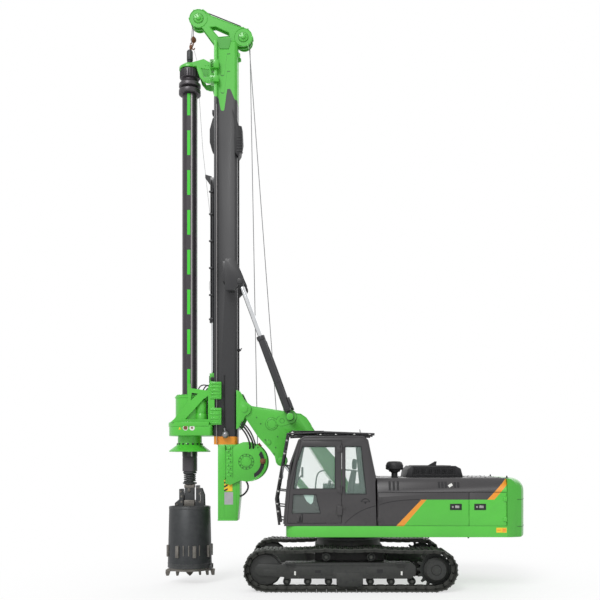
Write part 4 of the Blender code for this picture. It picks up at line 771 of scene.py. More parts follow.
def buildShoe(pitch):
    # one shoe with three grousers, its four bolts, and its pair of links with their bush
    half, thick, high = tracks["shoeWidth"] / 2, tracks["plate"], tracks["grouser"]
    long = pitch * 0.485
    profile = [(-long, -thick * 0.2), (-long, high * 0.86), (-long + 0.012, high)]
    profile += [(-long + 0.026, thick * 0.7), (-0.016, thick * 0.55), (-0.008, high * 0.9),
        (0.008, high * 0.9)]
    profile += [(0.016, thick * 0.55), (long - 0.03, thick * 0.5), (long - 0.022, high * 0.94)]
    profile += [(long - 0.008, high * 0.94), (long, thick * 0.3), (long, -thick * 0.5),
        (-long * 0.7, -thick * 0.5)]
    shoe = plate(profile, -half, half, edge=0)
    links = []
    for sign in (-1, 1):
        outline = [(-pitch * 0.56, -0.025), (-pitch * 0.6, -0.05), (-pitch * 0.52, -0.082),
            (-pitch * 0.2, -0.09)]
        outline += [(pitch * 0.25, -0.09), (pitch * 0.46, -0.082), (pitch * 0.54, -0.05),
            (pitch * 0.46, -0.014)]
        outline += [(-pitch * 0.4, -0.01)]
        near, far = sign * 0.058, sign * 0.098
        links.append(plate(outline, min(near, far), max(near, far), edge=0.004))
    bush = pinY((-pitch / 2, -0.052), -0.112, 0.112, 0.021, 0.002, 10)
    bolts = boltHeads([(sx, sy, thick * 0.62) for sx in (-0.04, 0.042) for sy in (-0.082, 0.082)], 0.013,
        0.012, normal=(0, 0, 1))
    return joined([shoe, *links, bush, bolts])


def buildTracks():
    depth = tracks["grouser"]
    places, pitch = shoePlaces(trackLine(), tracks["shoes"], depth)
    for side, sign in (("left", 1), ("right", -1)):
        middle = Matrix.Translation((0, sign * tracks["gauge"] / 2, 0))
        track = copies(buildShoe(pitch), [middle @ place for place in places])
        finish(track, "shoes_" + side, "undercarriage", trackIron, "track_" + side, angle=30)


# Small fittings

half = {"body": 1.35, "boom": 0.35, "mast": 0.24}   # outer faces, from the machine's middle


def turnedAlong(profile, start, end, sides=40):
    # a turned shape whose profile of radius and distance runs from start towards end
    axis = Vector(end) - Vector(start)
    turn = axis.to_track_quat("Z", "Y").to_matrix().to_4x4()
    return setPlace(spun(profile, sides=sides), Matrix.Translation(start) @ turn)


def alongLine(start, end, distance):
    return Vector(start) + (Vector(end) - Vector(start)).normalized() * distance


def loop(points, radius, sides=2):
    # a closed bead along its points
    return bead([*points, points[0]], radius, sides=sides)


def raised(outline, y):
    return [(x, y, z) for x, z in outline]


def disc(place, low, high, radius, edge=0.004):
    return pinY(place, low, high, radius, edge, 48)


def boltedDisc(place, low, high, radius, count, size=0.011):
    # a round cover on a side face, with a ring of bolts
    centre = (place[0], high, place[1])
    bolts = boltHeads(ringPlaces(centre, radius * 0.78, count), size, size * 0.8)
    return joined([disc(place, low, high, radius), bolts])


# Running gear

running = {
    "rollersX": [-1.28 + 2.6 * number / 6 for number in range(7)],
    "rollerZ": 0.2043,
    "roller": 0.0805,
    "carrierZ": 0.712,
    "carrier": 0.0835,
    "half": 0.11,
    "face": 1.365,
    "drive": (-1.775, 0.45),
}


def rollerProfile(radius, wide):
    edge = [(0.45, -wide - 0.012), (0.5, -wide), (0.86, -wide), (1.0, -wide + 0.012), (1.0, -0.036),
        (0.8, -0.028)]
    edge += [(share, -height) for share, height in reversed(edge)]
    return [(0, -wide - 0.012), *[(share * radius, height) for share, height in edge], (0, wide + 0.012)]


def buildRunningGear():
    spec = running
    centre = tracks["gauge"] / 2
    face = spec["face"]
    rollers = [spun(rollerProfile(spec["roller"], spec["half"]), (x, centre, spec["rollerZ"]), "Y", 28)
        for x in spec["rollersX"]]
    rollers += [spun(rollerProfile(spec["carrier"], spec["half"]), (x, centre, spec["carrierZ"]), "Y",
        28) for x in tracks["carrierX"]]
    fittings("track_rollers", "undercarriage", trackIron, bothSides(*rollers))
    x, z = spec["drive"]
    cover = [(0, 0.222), (0.095, 0.222), (0.108, 0.197), (0.205, 0.197), (0.257, 0.146), (0.257, -0.052),
        (0, -0.052)]
    drive = spun(cover, (x, centre, z), "Y", 64)
    ring = boltHeads(ringPlaces((x, centre + 0.196, z), 0.182, 16), 0.013, 0.012)
    hub = boltHeads(ringPlaces((x, centre + 0.221, z), 0.062, 6), 0.01, 0.01)
    fittings("final_drives", "undercarriage", frameIron, bothSides(drive, ring, hub))
    panels = [block((-1.18, 1.27), (face - 0.003, face + 0.008), (0.548, 0.574), 0.004),
        block((0.36, 1.24), (face - 0.003, face + 0.004), (0.33, 0.505), 0.003),
        block((-1.14, -0.34), (face - 0.003, face + 0.004), (0.33, 0.505), 0.003),
        block((1.52, 1.8), (face, face + 0.01), (0.34, 0.46), 0.006)]
    bolts = boltHeads([(px, face + 0.004, pz) for px in (0.4, 1.2, -0.38, -1.1) for pz in (0.355, 0.48)],
        0.011, 0.009)
    skidBolts = boltHeads([(px, face + 0.012, 0.22) for px in (-0.15, -0.03, 0.09, 0.21)], 0.012, 0.01)
    treads = []
    for px in (1.25, -1.02):
        treads += [block((px - 0.085 + 0.03 * n, px - 0.072 + 0.03 * n), (face + 0.004, face + 0.098),
            (0.608, 0.622), 0.002, 1) for n in range(6)]
    fittings("track_frame_plates", "undercarriage", frameIron, bothSides(*panels, bolts, skidBolts,
        *treads))
    # dark thin plates where the frame's slots are: painted shade
    holes = [block((0.615, 0.735), (face + 0.002, face + 0.0055), (0.39, 0.45), 0.001, 1),
        block((-0.67, -0.55), (face + 0.002, face + 0.0055), (0.392, 0.466), 0.001, 1)]
    fittings("track_frame_slot_shade", "undercarriage", rubberAndPaintedShade, bothSides(*holes))
    marks = [block((px - 0.018, px + 0.018), (face + 0.003, face + 0.0058), (0.345, 0.425), 0.001, 1)
        for px in (1.147, -1.058)]
    fittings("frame_marks", "undercarriage", whiteFilm, bothSides(*marks), slot="chassis_black")
    slew = boltHeads(ringPlaces((0, 0, 0.985), 0.688, 40, axis="Z"), 0.01, 0.012, normal=(0, 0, 1))
    race = hoop([(0.66, 0.985), (0.692, 0.986), (0.692, 1.03), (0.68, 1.034), (0.68, 1.1), (0.66, 1.1)])
    fittings("slew_race", "undercarriage", toolSteel, slew, race, slot="chassis_black")


buildTracks()
buildRunningGear()
print("undercarriage done")


# Deck, house and counterweight

house = {
    "shoulder": 2.06,
    "slope": 0.06 / 0.192,
    "latchZ": (1.69, 1.82),
    "seatZ": 2.352,
}


def onShoulder(piece, x, z, turn=0.0):
    # lays a piece that faces +Y against the house's sloping shoulder
    y = half["body"] - house["slope"] * (z - house["shoulder"])
    tilt = Matrix.Rotation(math.atan(house["slope"]), 4, "X")
    return setPlace(piece, Matrix.Translation((x, y, z)) @ tilt @ Matrix.Rotation(math.radians(turn), 4,
        "Y"))


def latch(x, sign=1):
    # a flush paddle latch: black dish, paddle and key
    side = half["body"]
    low, high = house["latchZ"]
    dish = block((x - 0.122, x + 0.122), (side - 0.003, side + 0.006), (low, high), 0.012, 3)
    rim = loop(raised([(x - 0.112, low + 0.01), (x + 0.112, low + 0.01), (x + 0.112, high - 0.01),
        (x - 0.112, high - 0.01)], side + 0.006), 0.005)
    paddle = block((x - 0.07, x + 0.02), (side + 0.004, side + 0.016), (low + 0.04, high - 0.036), 0.006)
    key = pinY((x + 0.066, (low + high) / 2), side + 0.004, side + 0.015, 0.02)
    dark, bright = joined([dish, rim]), joined([paddle, key])
    if sign < 0:
        mirror = Matrix.Diagonal((1, -1, 1, 1))
        dark, bright = copies(dark, [mirror]), copies(bright, [mirror])
    return dark, bright


def buildHouse():
    side = half["body"]
    for name, body, x, sign in (("front_latch", "left_front_door", -2.183, 1),
            ("rear_latch", "left_rear_door", -2.685, 1), ("right_latch", "right_door", -1.9, -1)):
        dark, bright = latch(x, sign)
        fittings(name + "_dish", body, mouldedBlackAndShade, dark)
        fittings(name + "_paddle", body, zincAndHighlight, bright)
    slats = []
    for number in range(13):
        z = 1.46 + number * 0.042
        slat = block((-3.0, -2.12), (-0.01, 0.006), (-0.003, 0.003), 0.001, 1)
        slats.append(setPlace(slat,
            Matrix.Translation((0, -side - 0.004, z)) @ Matrix.Rotation(math.radians(35), 4, "X")))
    slats.append(loop(raised([(-3.02, 1.43), (-2.1, 1.43), (-2.1, 2.0), (-3.02, 2.0)], -side - 0.002),
        0.01))
    fittings("intake_louvres", "right_door", mouldedBlackAndShade, *slats)
    vents = []
    for x, z, high in ((-0.815, 2.19, 0.19), (-0.9, 2.19, 0.19), (-0.985, 2.19, 0.19),
            (-1.84, 2.21, 0.13), (-1.91, 2.21, 0.13), (-1.98, 2.21, 0.13), (-2.17, 2.21, 0.11),
            (-2.24, 2.21, 0.11)):
        rim = [(-0.02, -high / 2), (0.02, -high / 2), (0.02, high / 2), (-0.02, high / 2)]
        louvre = [loop(raised(rim, 0.001), 0.0035)]
        louvre += [block((-0.018, 0.018), (-0.001, 0.004), (level, level + 0.006), 0.001, 1)
            for level in [-high / 2 + 0.018 + 0.02 * n for n in range(int(high / 0.02) - 1)]]
        louvre.append(block((-0.018, 0.018), (-0.004, 0.001), (-high / 2, high / 2), 0.0, 1))
        vents.append(onShoulder(joined(louvre), x, z))
    dots = [onShoulder(disc((0, 0), -0.002, 0.003, 0.007, 0.001), -1.1 - 0.07 * n, 2.13)
        for n in range(10)]
    fittings("shoulder_vents", "upper", mouldedBlackAndShade, bothSides(*vents, *dots))
    label = onShoulder(block((-0.045, 0.045), (0.0005, 0.0025), (-0.028, 0.028), 0.001, 1), -2.075, 2.2,
        32)
    fittings("shoulder_label", "upper", whiteFilm, label)
    seams = [bead(raised([(-0.6, 2.062), (-3.23, 2.062)], side + 0.0005), 0.0035)]
    fittings("shoulder_seam", "upper", rubberAndPaintedShade, bothSides(*seams))
    roofPlates = [block((-1.16, -0.62), (-0.62, 0.5), (2.351, 2.36), 0.004),
        block((-3.18, -2.54), (-1.05, 1.05), (2.351, 2.36), 0.004)]
    roofBolts = boltHeads([(px, py, 2.359) for px in (-3.14, -2.86, -2.58) for py in (-1.0, -0.5, 0, 0.5,
        1.0)] + [(px, py, 2.359) for px in (-1.12, -0.66) for py in (-0.55, 0.0, 0.45)], 0.012,
        normal=(0, 0, 1))
    fittings("roof_plates", "upper", graphitePaint, *roofPlates, roofBolts)
    # the raised hood's grilles and its fin
    grille = []
    for number in range(23):
        x = -1.385 - number * 0.041
        grille.append(block((x - 0.006, x + 0.006), (0.602, 0.628), (2.405, 2.56), 0.002, 1))
    for z in (2.405, 2.444, 2.483, 2.522, 2.56):
        grille.append(block((-2.3, -1.375), (0.604, 0.626), (z - 0.005, z + 0.005), 0.002, 1))
    # a black sheet behind the grille openings: painted shade
    shadeBacking = block((-2.3, -1.375), (0.59, 0.606), (2.4, 2.565), 0.0)
    rim = loop(raised([(-2.315, 2.395), (-1.362, 2.395), (-1.385, 2.572), (-2.27, 2.572)], 0.621), 0.009)
    fittings("hood_grilles_and_shade", "hood", mouldedBlackAndShade, bothSides(*grille, shadeBacking, rim))
    fin = plate([(-1.7, 2.597), (-1.9, 2.597), (-1.915, 2.695), (-1.875, 2.7)], 0.42, 0.44, 0.004)
    top = [block((-2.22, -1.4), (y - 0.05, y + 0.05), (2.598, 2.61), 0.004) for y in (-0.42, -0.14, 0.14,
        0.42)]
    fittings("hood_ribs", "hood", mouldedBlackAndShade, fin, *top)


weight = {"radius": 3.8, "corner": 0.12, "front": -3.2503, "low": 1.127, "top": 2.345, "round": 0.26}


def weightLine(out=0.0, steps=36):
    # the counterweight's plan: flat front, and a back that runs round the slewing axis
    side, radius = half["body"] + out, weight["radius"] + out
    edge = math.degrees(math.asin((side - weight["corner"]) / radius))
    x = -radius * math.cos(math.radians(edge))
    line = [(weight["front"], side), (x + 0.14, side), (x + 0.05, side - 0.03)]
    return [*line, *arc((0, 0), radius, 180 - edge, 180 + edge, steps),
        *[(u, -v) for u, v in reversed(line)]]


def bevelWhere(piece, test, width, segments):
    # bevels the edges whose two ends pass a test
    pick(piece)
    bpy.context.tool_settings.mesh_select_mode = (False, True, False)
    bpy.ops.object.mode_set(mode="EDIT")
    bpy.ops.mesh.select_all(action="DESELECT")
    bpy.ops.object.mode_set(mode="OBJECT")
    for edge in piece.data.edges:
        ends = [piece.data.vertices[number].co for number in edge.vertices]
        edge.select = all(test(end) for end in ends)
    bpy.ops.object.mode_set(mode="EDIT")
    bpy.ops.mesh.bevel(offset=width, segments=segments, affect="EDGES")
    bpy.ops.object.mode_set(mode="OBJECT")
    bpy.context.tool_settings.mesh_select_mode = (True, False, False)
    return piece


def buildCounterweight():
    spec = weight
    body = plate(weightLine(), spec["low"], spec["top"], edge=0, flat=True)
    front = spec["front"] - 0.01
    bevelWhere(body, lambda end: end.z > spec["top"] - 0.001 and end.x < front, spec["round"], 8)
    bevelWhere(body, lambda end: end.z < spec["low"] + 0.001 and end.x < front, 0.045, 4)
    finish(body, "counterweight_casting", "upper", weightPaint, "counterweight", angle=30)
    lines = []
    for z in (1.909, 1.35):
        lines.append(bead([(x, y, z) for x, y in weightLine(0.0005)[1:-1]], 0.0045))
    fittings("weight_seams", "upper", rubberAndPaintedShade, *lines)
    eyes = [bar((-3.35, y, 2.3), (-3.35, y, 2.352), 0.05) for y in (-0.85, 0.85)]
    eyes += [hose([(-3.35, y - 0.035, 2.35), (-3.35, y - 0.03, 2.4), (-3.35, y + 0.03, 2.4),
        (-3.35, y + 0.035, 2.35)], 0.01) for y in (-0.85, 0.85)]
    fittings("lifting_eyes", "upper", blackPaint, *eyes)
    reflectors = [block((-3.495, -3.47), (y - 0.012, y + 0.012), (1.24, 1.33), 0.003) for y in (-1.255,
        1.255)]
    fittings("tail_reflectors", "upper", orangePaint, *reflectors)


def buildDeck():
    side = half["body"]
    label = [block((-3.235, -3.02), (side - 0.001, side + 0.0016), (1.222, 1.324), 0.001, 1)]
    fittings("deck_label", "upper", yellowFilm, *label)
    bars = [block((-3.222, -3.15), (side + 0.001, side + 0.0024), (1.24, 1.306), 0.0, 1),
        block((-3.11, -3.04), (side + 0.001, side + 0.0024), (1.262, 1.284), 0.0, 1)]
    fittings("deck_label_bars", "upper", orangePaint, *bars, slot="chassis_black")
    feet = boltHeads([(x, y, 1.128) for x in (-1.62, -2.45) for y in (-1.3, 1.3)], 0.02, 0.022,
        normal=(0, 0, -1))
    fittings("deck_plugs", "upper", blackPaint, feet)
    tread = block((0.88, 1.29), (-1.3, -0.5), (1.3565, 1.362), 0.002)
    tankTop = block((0.585, 0.845), (-1.3, -0.52), (1.7495, 1.755), 0.002)
    stud = bar((0, 0, 0), (0, 0, 0.006), 0.011, 0, 6, 0.008)
    places = [Matrix.Translation((0.92 + 0.055 * i, -1.26 + 0.06 * j, 1.361)) for i in range(7)
        for j in range(13)]
    places += [Matrix.Translation((0.62 + 0.055 * i, -1.26 + 0.06 * j, 1.754)) for i in range(5)
        for j in range(13)]
    fittings("deck_treads", "upper", mouldedBlackAndShade, tread, tankTop, copies(stud, places))
    rail = hose([(0.74, -1.31, 1.75), (0.74, -1.31, 2.42), (0.66, -1.31, 2.5), (-0.32, -1.31, 2.5),
        (-0.4, -1.31, 2.42), (-0.4, -1.31, 2.17)], 0.017, sides=4)
    post = bar((0.1, -1.31, 2.17), (0.1, -1.31, 2.5), 0.015)
    fittings("grab_rail", "upper", blackPaint, rail, post)
    caps = [disc((-0.05, 1.8), 0.372, 0.392, 0.08), boltHeads(ringPlaces((-0.05, 0.392, 1.8), 0.048, 3),
        0.011)]
    caps += [disc((0.6, 1.62), 0.213, 0.235, 0.062)]
    fittings("boom_foot_caps", "upper", toolSteel, bothSides(*caps))


def buildPrecleaner():
    x, y, base = -0.97, 0.7, house["seatZ"]
    profile = [(0, 0), (0.085, 0), (0.085, 0.012), (0.068, 0.02), (0.066, 0.1), (0.085, 0.118),
        (0.118, 0.128), (0.124, 0.158), (0.165, 0.166), (0.18, 0.18), (0.183, 0.262), (0.176, 0.292),
        (0.158, 0.326), (0.12, 0.346), (0, 0.352)]
    bowl = spun(profile, (x, y, base), sides=72)
    rib = block((0.176, 0.188), (-0.005, 0.005), (0.18, 0.27), 0.002, 1)
    ribs = around(rib, 30, (x, y, base))
    band = hoop([(0.183, 0.205), (0.1885, 0.209), (0.1885, 0.221), (0.183, 0.225)], (x, y, base),
        sides=72)
    strap = bar((x, y, base + 0.345), (x, y, base + 0.35), 0.03)
    finish(joined([bowl, ribs, band, strap]), "precleaner_bowl", "upper", mouldedBlackAndShade, "precleaner")


buildHouse()
buildCounterweight()
buildDeck()
buildPrecleaner()
print("house done")


# Cab

cabLines = {
    "solid": ((1.31, 1.3), (1.31, 1.4), (1.2, 2.12), (1.11, 2.65), (1.03, 3.13), (0.97, 3.207)),
    "seen": ((1.375, 1.3), (1.375, 1.4), (1.313, 2.12), (1.241, 2.65), (1.068, 3.13), (0.955, 3.207)),
    "still": 0.62,
}


def lineX(line, z):
    # the X of a rising line of X and Z points at a height
    for start, end in zip(line, line[1:]):
        if start[1] <= z <= end[1]:
            return lineAt(z, start, end)
    return line[-1][0]


def cabFront(x, z):
    # draws the cab's front out to the line that shows, and leaves its rear as it is
    still = cabLines["still"]
    if x <= still:
        return x
    return still + (x - still) * (lineX(cabLines["seen"], z) - still) / (lineX(cabLines["solid"],
        z) - still)


def drawnOut(outline):
    return tuple((cabFront(x, z), z) for x, z in outline)


cab = {
    "inner": 0.47,
    "doorWindow": drawnOut(((0.316, 2.13), (1.09, 2.13), (1.01, 2.65), (0.945, 3.01), (0.316, 3.01))),
    "lowWindow": drawnOut(((0.62, 1.62), (1.15, 1.62), (1.1, 2.01), (0.7, 2.01))),
    "rearWindow": ((-0.33, 2.02), (0.11, 2.02), (0.11, 3.01), (-0.22, 3.01)),
    "rightWindow": drawnOut(((-0.25, 2.02), (1.08, 2.02), (0.93, 3.01), (-0.15, 3.01))),
    "gutter": (*drawnOut(((1.307, 1.4), (1.197, 2.12), (1.107, 2.65), (1.027, 3.13), (0.967, 3.205))),
        (-0.27, 3.205),
               (-0.35, 3.13), (-0.51, 2.36)),
    "guard": ((1.475, 1.38), (1.541, 1.92), (1.305, 3.27), (0.54, 3.3), (-0.5, 3.26)),
    "guardSides": (0.5, 1.32),
    "tube": 0.026,
    "struts": (1.5, 1.78, 2.1, 2.62),
}


def buildGuard():
    line = cab["guard"]
    right, left = cab["guardSides"]
    tubes = []
    for y in (right, left):
        tubes.append(bead(raised(line, y), cab["tube"], sides=6))
        lower = [(line[2][0] - 0.03, line[2][1] - 0.062), (0.54, 3.245), (-0.46, 3.218)]
        tubes.append(bead(raised(lower, y), 0.013, sides=4))
        for z in cab["struts"]:
            x = lineX(line[:3], z)
            tubes.append(bar((lineX(cab["gutter"][:4], z) - 0.01, y, z - 0.02), (x, y, z), 0.013))
        for x in (-0.24, 0.68):
            tubes.append(bar((x, y, 3.205), (x, y, 3.285), 0.016))
    for x, z in ((1.29, 3.27), (0.9, 3.285), (0.54, 3.3), (0.02, 3.28), (-0.48, 3.26)):
        tubes.append(bar((x, right, z), (x, left, z), 0.021))
    for z in (1.72, 2.4, 2.92):
        tubes.append(bar((lineX(line[:3], z), right, z), (lineX(line[:3], z), left, z), 0.021))
    for number in range(7):
        y = right + (left - right) * (number + 1) / 8
        tubes.append(bead(raised([(lineX(line[:3], 1.72), 1.72), (1.541, 1.92),
            (lineX(line[:3], 2.92), 2.92)], y), 0.009, sides=3))
        tubes.append(bead(raised([(1.29, 3.27), (0.54, 3.3), (-0.48, 3.26)], y), 0.008, sides=3))
    tubes.append(block((0.55, 1.2), (right + 0.03, left + 0.015), (3.318, 3.334), 0.005))
    fittings("guard_tubes", "upper", blackPaint, *tubes, nodes=("cab_guard",))
    clips = []
    for x0, z0 in ((1.512, 1.66), (1.528, 1.82), (1.512, 2.08), (1.468, 2.34), (1.43, 2.56),
            (1.378, 2.86), (1.33, 3.13)):
        clips.append(block((x0 - 0.034, x0 + 0.012), (left + 0.004, left + 0.034),
            (z0 - 0.016, z0 + 0.016), 0.005))
    for x0 in (1.2, 0.62, 0.3, -0.08, -0.4):
        clips.append(block((x0 - 0.022, x0 + 0.022), (left - 0.02, left + 0.034), (3.243, 3.266), 0.005))
    fittings("guard_clips", "upper", zincAndHighlight, *clips)
    lamps = [block((1.18, 1.28), (y - 0.07, y + 0.07), (3.225, 3.262), 0.012) for y in (0.7, 1.12)]
    lamps += [hose([(-0.205, 1.3, 3.26), (-0.205, 1.3, 3.31), (-0.195, 1.3, 3.36)], 0.008)]
    fittings("roof_lamps", "upper", mouldedBlackAndShade, *lamps)
    fronts = [block((1.277, 1.287), (y - 0.055, y + 0.055), (3.231, 3.257), 0.004) for y in (0.7, 1.12)]
    fittings("lamp_lenses", "upper", lens, *fronts)


def buildCab():
    side = half["body"]
    trim = [loop(raised(cab["rearWindow"], side - 0.006), 0.011),
        loop(raised(cab["rightWindow"], cab["inner"] + 0.006), 0.011)]
    screen = [(lineX(cab["gutter"][:4], z) - 0.006, z) for z in (1.64, 2.12, 2.75, 3.01)]
    for y in (0.56, 1.26):
        trim.append(bead(raised(screen, y), 0.012, sides=3))
    for x, z in (screen[0], screen[-1]):
        trim.append(bar((x, 0.56, z), (x, 1.26, z), 0.012))
    for z in (2.43, 3.01):
        x = -0.51 + 0.16 * (z - 2.36) / 0.77
        trim.append(bar((x, 0.56, z), (x, 1.26, z), 0.012))
    fittings("cab_seals", "upper", rubberAndPaintedShade, *trim)
    doorTrim = [loop(raised(cab["doorWindow"], side - 0.004), 0.01),
        loop(raised(cab["lowWindow"], side - 0.004), 0.008)]
    fittings("door_seals", "cab_door", rubberAndPaintedShade, *doorTrim)
    gutter = bead(raised(cab["gutter"], side - 0.014), 0.024, sides=5)
    roof = block((-0.24, 0.9), (0.56, 1.26), (3.204, 3.226), 0.012, 3)
    fittings("cab_gutter", "upper", cabPaint, gutter, roof)
    innerGutter = bead(raised(cab["gutter"], cab["inner"] + 0.014), 0.024, sides=5)
    fittings("cab_inner_gutter", "upper", cabPaint, innerGutter)
    lining = plate([(0.6, 1.6), (1.25, 1.6), (1.22, 2.03), (0.99, 2.03), (0.982, 2.012), (0.905, 1.865),
        (0.82, 1.806), (0.775, 1.85), (0.757, 2.012), (0.757, 2.03), (0.6, 2.03)], side - 0.034,
        side - 0.028, 0.001)
    fittings("door_lining", "cab_door", cabPaint, lining)
    pocket = plate([(0.7, 1.76), (1.05, 1.76), (1.05, 2.04), (0.7, 2.04)], side - 0.046, side - 0.04,
        0.001)
    fittings("door_pocket", "cab_door", paleMint, pocket)
    dish = plate([(1.105, 1.43), (0.985, 1.43), (0.985, 1.615), (1.005, 1.625)], side - 0.002,
        side + 0.003, 0.002)
    fittings("handle_dish", "cab_door", mouldedBlackAndShade, dish)
    grip = hose([(1.02, side + 0.004, 1.46), (1.018, side + 0.03, 1.475), (1.014, side + 0.03, 1.56),
        (1.012, side + 0.004, 1.58)], 0.01)
    cover = block((0.172, 0.282), (side + 0.001, side + 0.052), (1.575, 1.785), 0.02, 4)
    fittings("door_handle", "cab_door", cabPaint, grip, cover)
    catch = [bead(raised(arc((-0.309, 1.835), 0.09, 20, 160, 14), side + 0.001), 0.008, sides=3),
        bead(raised([(-0.215, 1.862), (-0.403, 1.862)], side + 0.001), 0.005, sides=3),
        plate([(-0.335, 1.862), (-0.283, 1.862), (-0.3, 1.815), (-0.318, 1.815)], side - 0.001,
        side + 0.006, 0.001),
        # the black line that runs along the cab: painted shade under the swage ridge
        hose(raised([(0.117, 1.413), (-0.04, 1.58), (-0.239, 1.717), (-0.536, 1.783)], side + 0.0005),
        0.006)]
    fittings("cab_catch", "upper", rubberAndPaintedShade, *catch)
    # a black line along the doors' swage: painted shade under the ridge
    swage = hose(raised([(-0.6, 1.8), (-0.797, 1.868), (-1.05, 1.9), (-1.439, 1.912)], side + 0.0005),
        0.006)
    fittings("door_swage_shade", "left_front_door", rubberAndPaintedShade, swage)
    arm = hose([(1.5, 1.32, 2.16), (1.5, 1.4, 2.2), (1.44, 1.43, 2.3), (1.42, 1.43, 2.42)], 0.01)
    head = block((1.395, 1.435), (1.365, 1.5), (2.34, 2.62), 0.016, 3)
    fittings("cab_mirror", "upper", mouldedBlackAndShade, arm, head)
    face = block((1.388, 1.397), (1.376, 1.49), (2.355, 2.605), 0.004)
    fittings("mirror_face", "upper", chrome, face)
    wiper = [hose([(1.385, 0.92, 1.6), (1.355, 0.88, 1.9), (1.325, 0.82, 2.3)], 0.007),
        hose([(1.352, 0.8, 2.02), (1.315, 0.8, 2.32), (1.262, 0.8, 2.66)], 0.008)]
    fittings("windscreen_wiper", "upper", rubberAndPaintedShade, *wiper)
    buildCabRoom()


def buildCabRoom():
    # what shows through the glass: seat, consoles, levers, display and floor mat
    floor, middle = 1.4076, 0.91
    pads = [block((-0.07, 0.45), (middle - 0.25, middle + 0.25), (floor + 0.33, floor + 0.47), 0.055, 5)]
    back = plate([(-0.07, floor + 0.42), (0.06, floor + 0.45), (0.03, floor + 0.8), (-0.04, floor + 1.1),
        (-0.14, floor + 1.11), (-0.1, floor + 0.75)], middle - 0.24, middle + 0.24, 0.035, 4)
    headrest = plate([(-0.145, floor + 1.12), (-0.055, floor + 1.12), (-0.05, floor + 1.25),
        (-0.07, floor + 1.35), (-0.15, floor + 1.33)], middle - 0.13, middle + 0.13, 0.03, 4)
    seams = [bead([(x, middle - 0.25, floor + 0.472), (x, middle + 0.25, floor + 0.472)], 0.004, sides=3)
        for x in (0.08, 0.3)]
    seat = fittings("seat_pads", "upper", cloth, *pads, back, headrest, *seams, nodes=("operator_seat",))
    hard = [block((0.0, 0.36), (middle - 0.19, middle + 0.19), (floor, floor + 0.325), 0.02)]
    for sign in (-1, 1):
        y = middle + sign * 0.305
        hard.append(block((0.02, 0.5), (y - 0.055, y + 0.055), (floor + 0.45, floor + 0.62), 0.025, 3))
        hard.append(hose([(0.42, y, floor + 0.6), (0.44, y, floor + 0.72), (0.43, y, floor + 0.8)],
            0.014))
        hard.append(bar((0.43, y, floor + 0.76), (0.425, y, floor + 0.88), 0.026, 0.01, 16))
        hard.append(hose([(0.95, middle + sign * 0.1, floor), (0.93, middle + sign * 0.1, floor + 0.35),
            (0.88, middle + sign * 0.1, floor + 0.62)], 0.013))
        hard.append(bar((0.885, middle + sign * 0.1, floor + 0.6), (0.875, middle + sign * 0.1,
            floor + 0.7), 0.022, 0.008, 16))
    hard.append(block((0.98, 1.02), (1.1, 1.27), (2.36, 2.58), 0.012))
    hard.append(hose([(1.02, 1.24, 2.4), (1.12, 1.27, 2.3), (1.2, 1.28, 2.05)], 0.014))
    hard.append(block((0.5, 1.26), (0.53, 1.29), (floor + 0.0005, floor + 0.012), 0.004))
    hard.append(block((-0.42, -0.22), (0.54, 1.28), (floor, 1.98), 0.02))
    fittings("cab_room", "upper", mouldedBlackAndShade, *hard)
    shown = block((0.974, 0.981), (1.112, 1.258), (2.375, 2.565), 0.003)
    fittings("cab_display", "upper", lens, shown)


buildCab()
buildGuard()
print("cab done")


# Boom and its cylinders

boomSpec = {
    "luffFoot": (0.6, 1.62),
    "luffEye": (1.48, 2.71),
    "pivot": (2.285, 3.849),
    "tiltFoot": (1.283, 3.67),
    "tiltEye": (2.37, 6.61),
    "winch": (1.687, 3.518),
}

cylinders = {
    "luff": {"y": 0.13, "radius": 0.075, "length": 1.02, "rod": 0.042, "eyeHalf": 0.05, "shaftFrom": 0.55,
             "paint": limePaint},
    "tilt": {"y": 0.45, "radius": 0.078, "length": 1.87, "rod": 0.05, "eyeHalf": 0.045, "shaftFrom": 1.0,
             "paint": cylinderPaint},
}


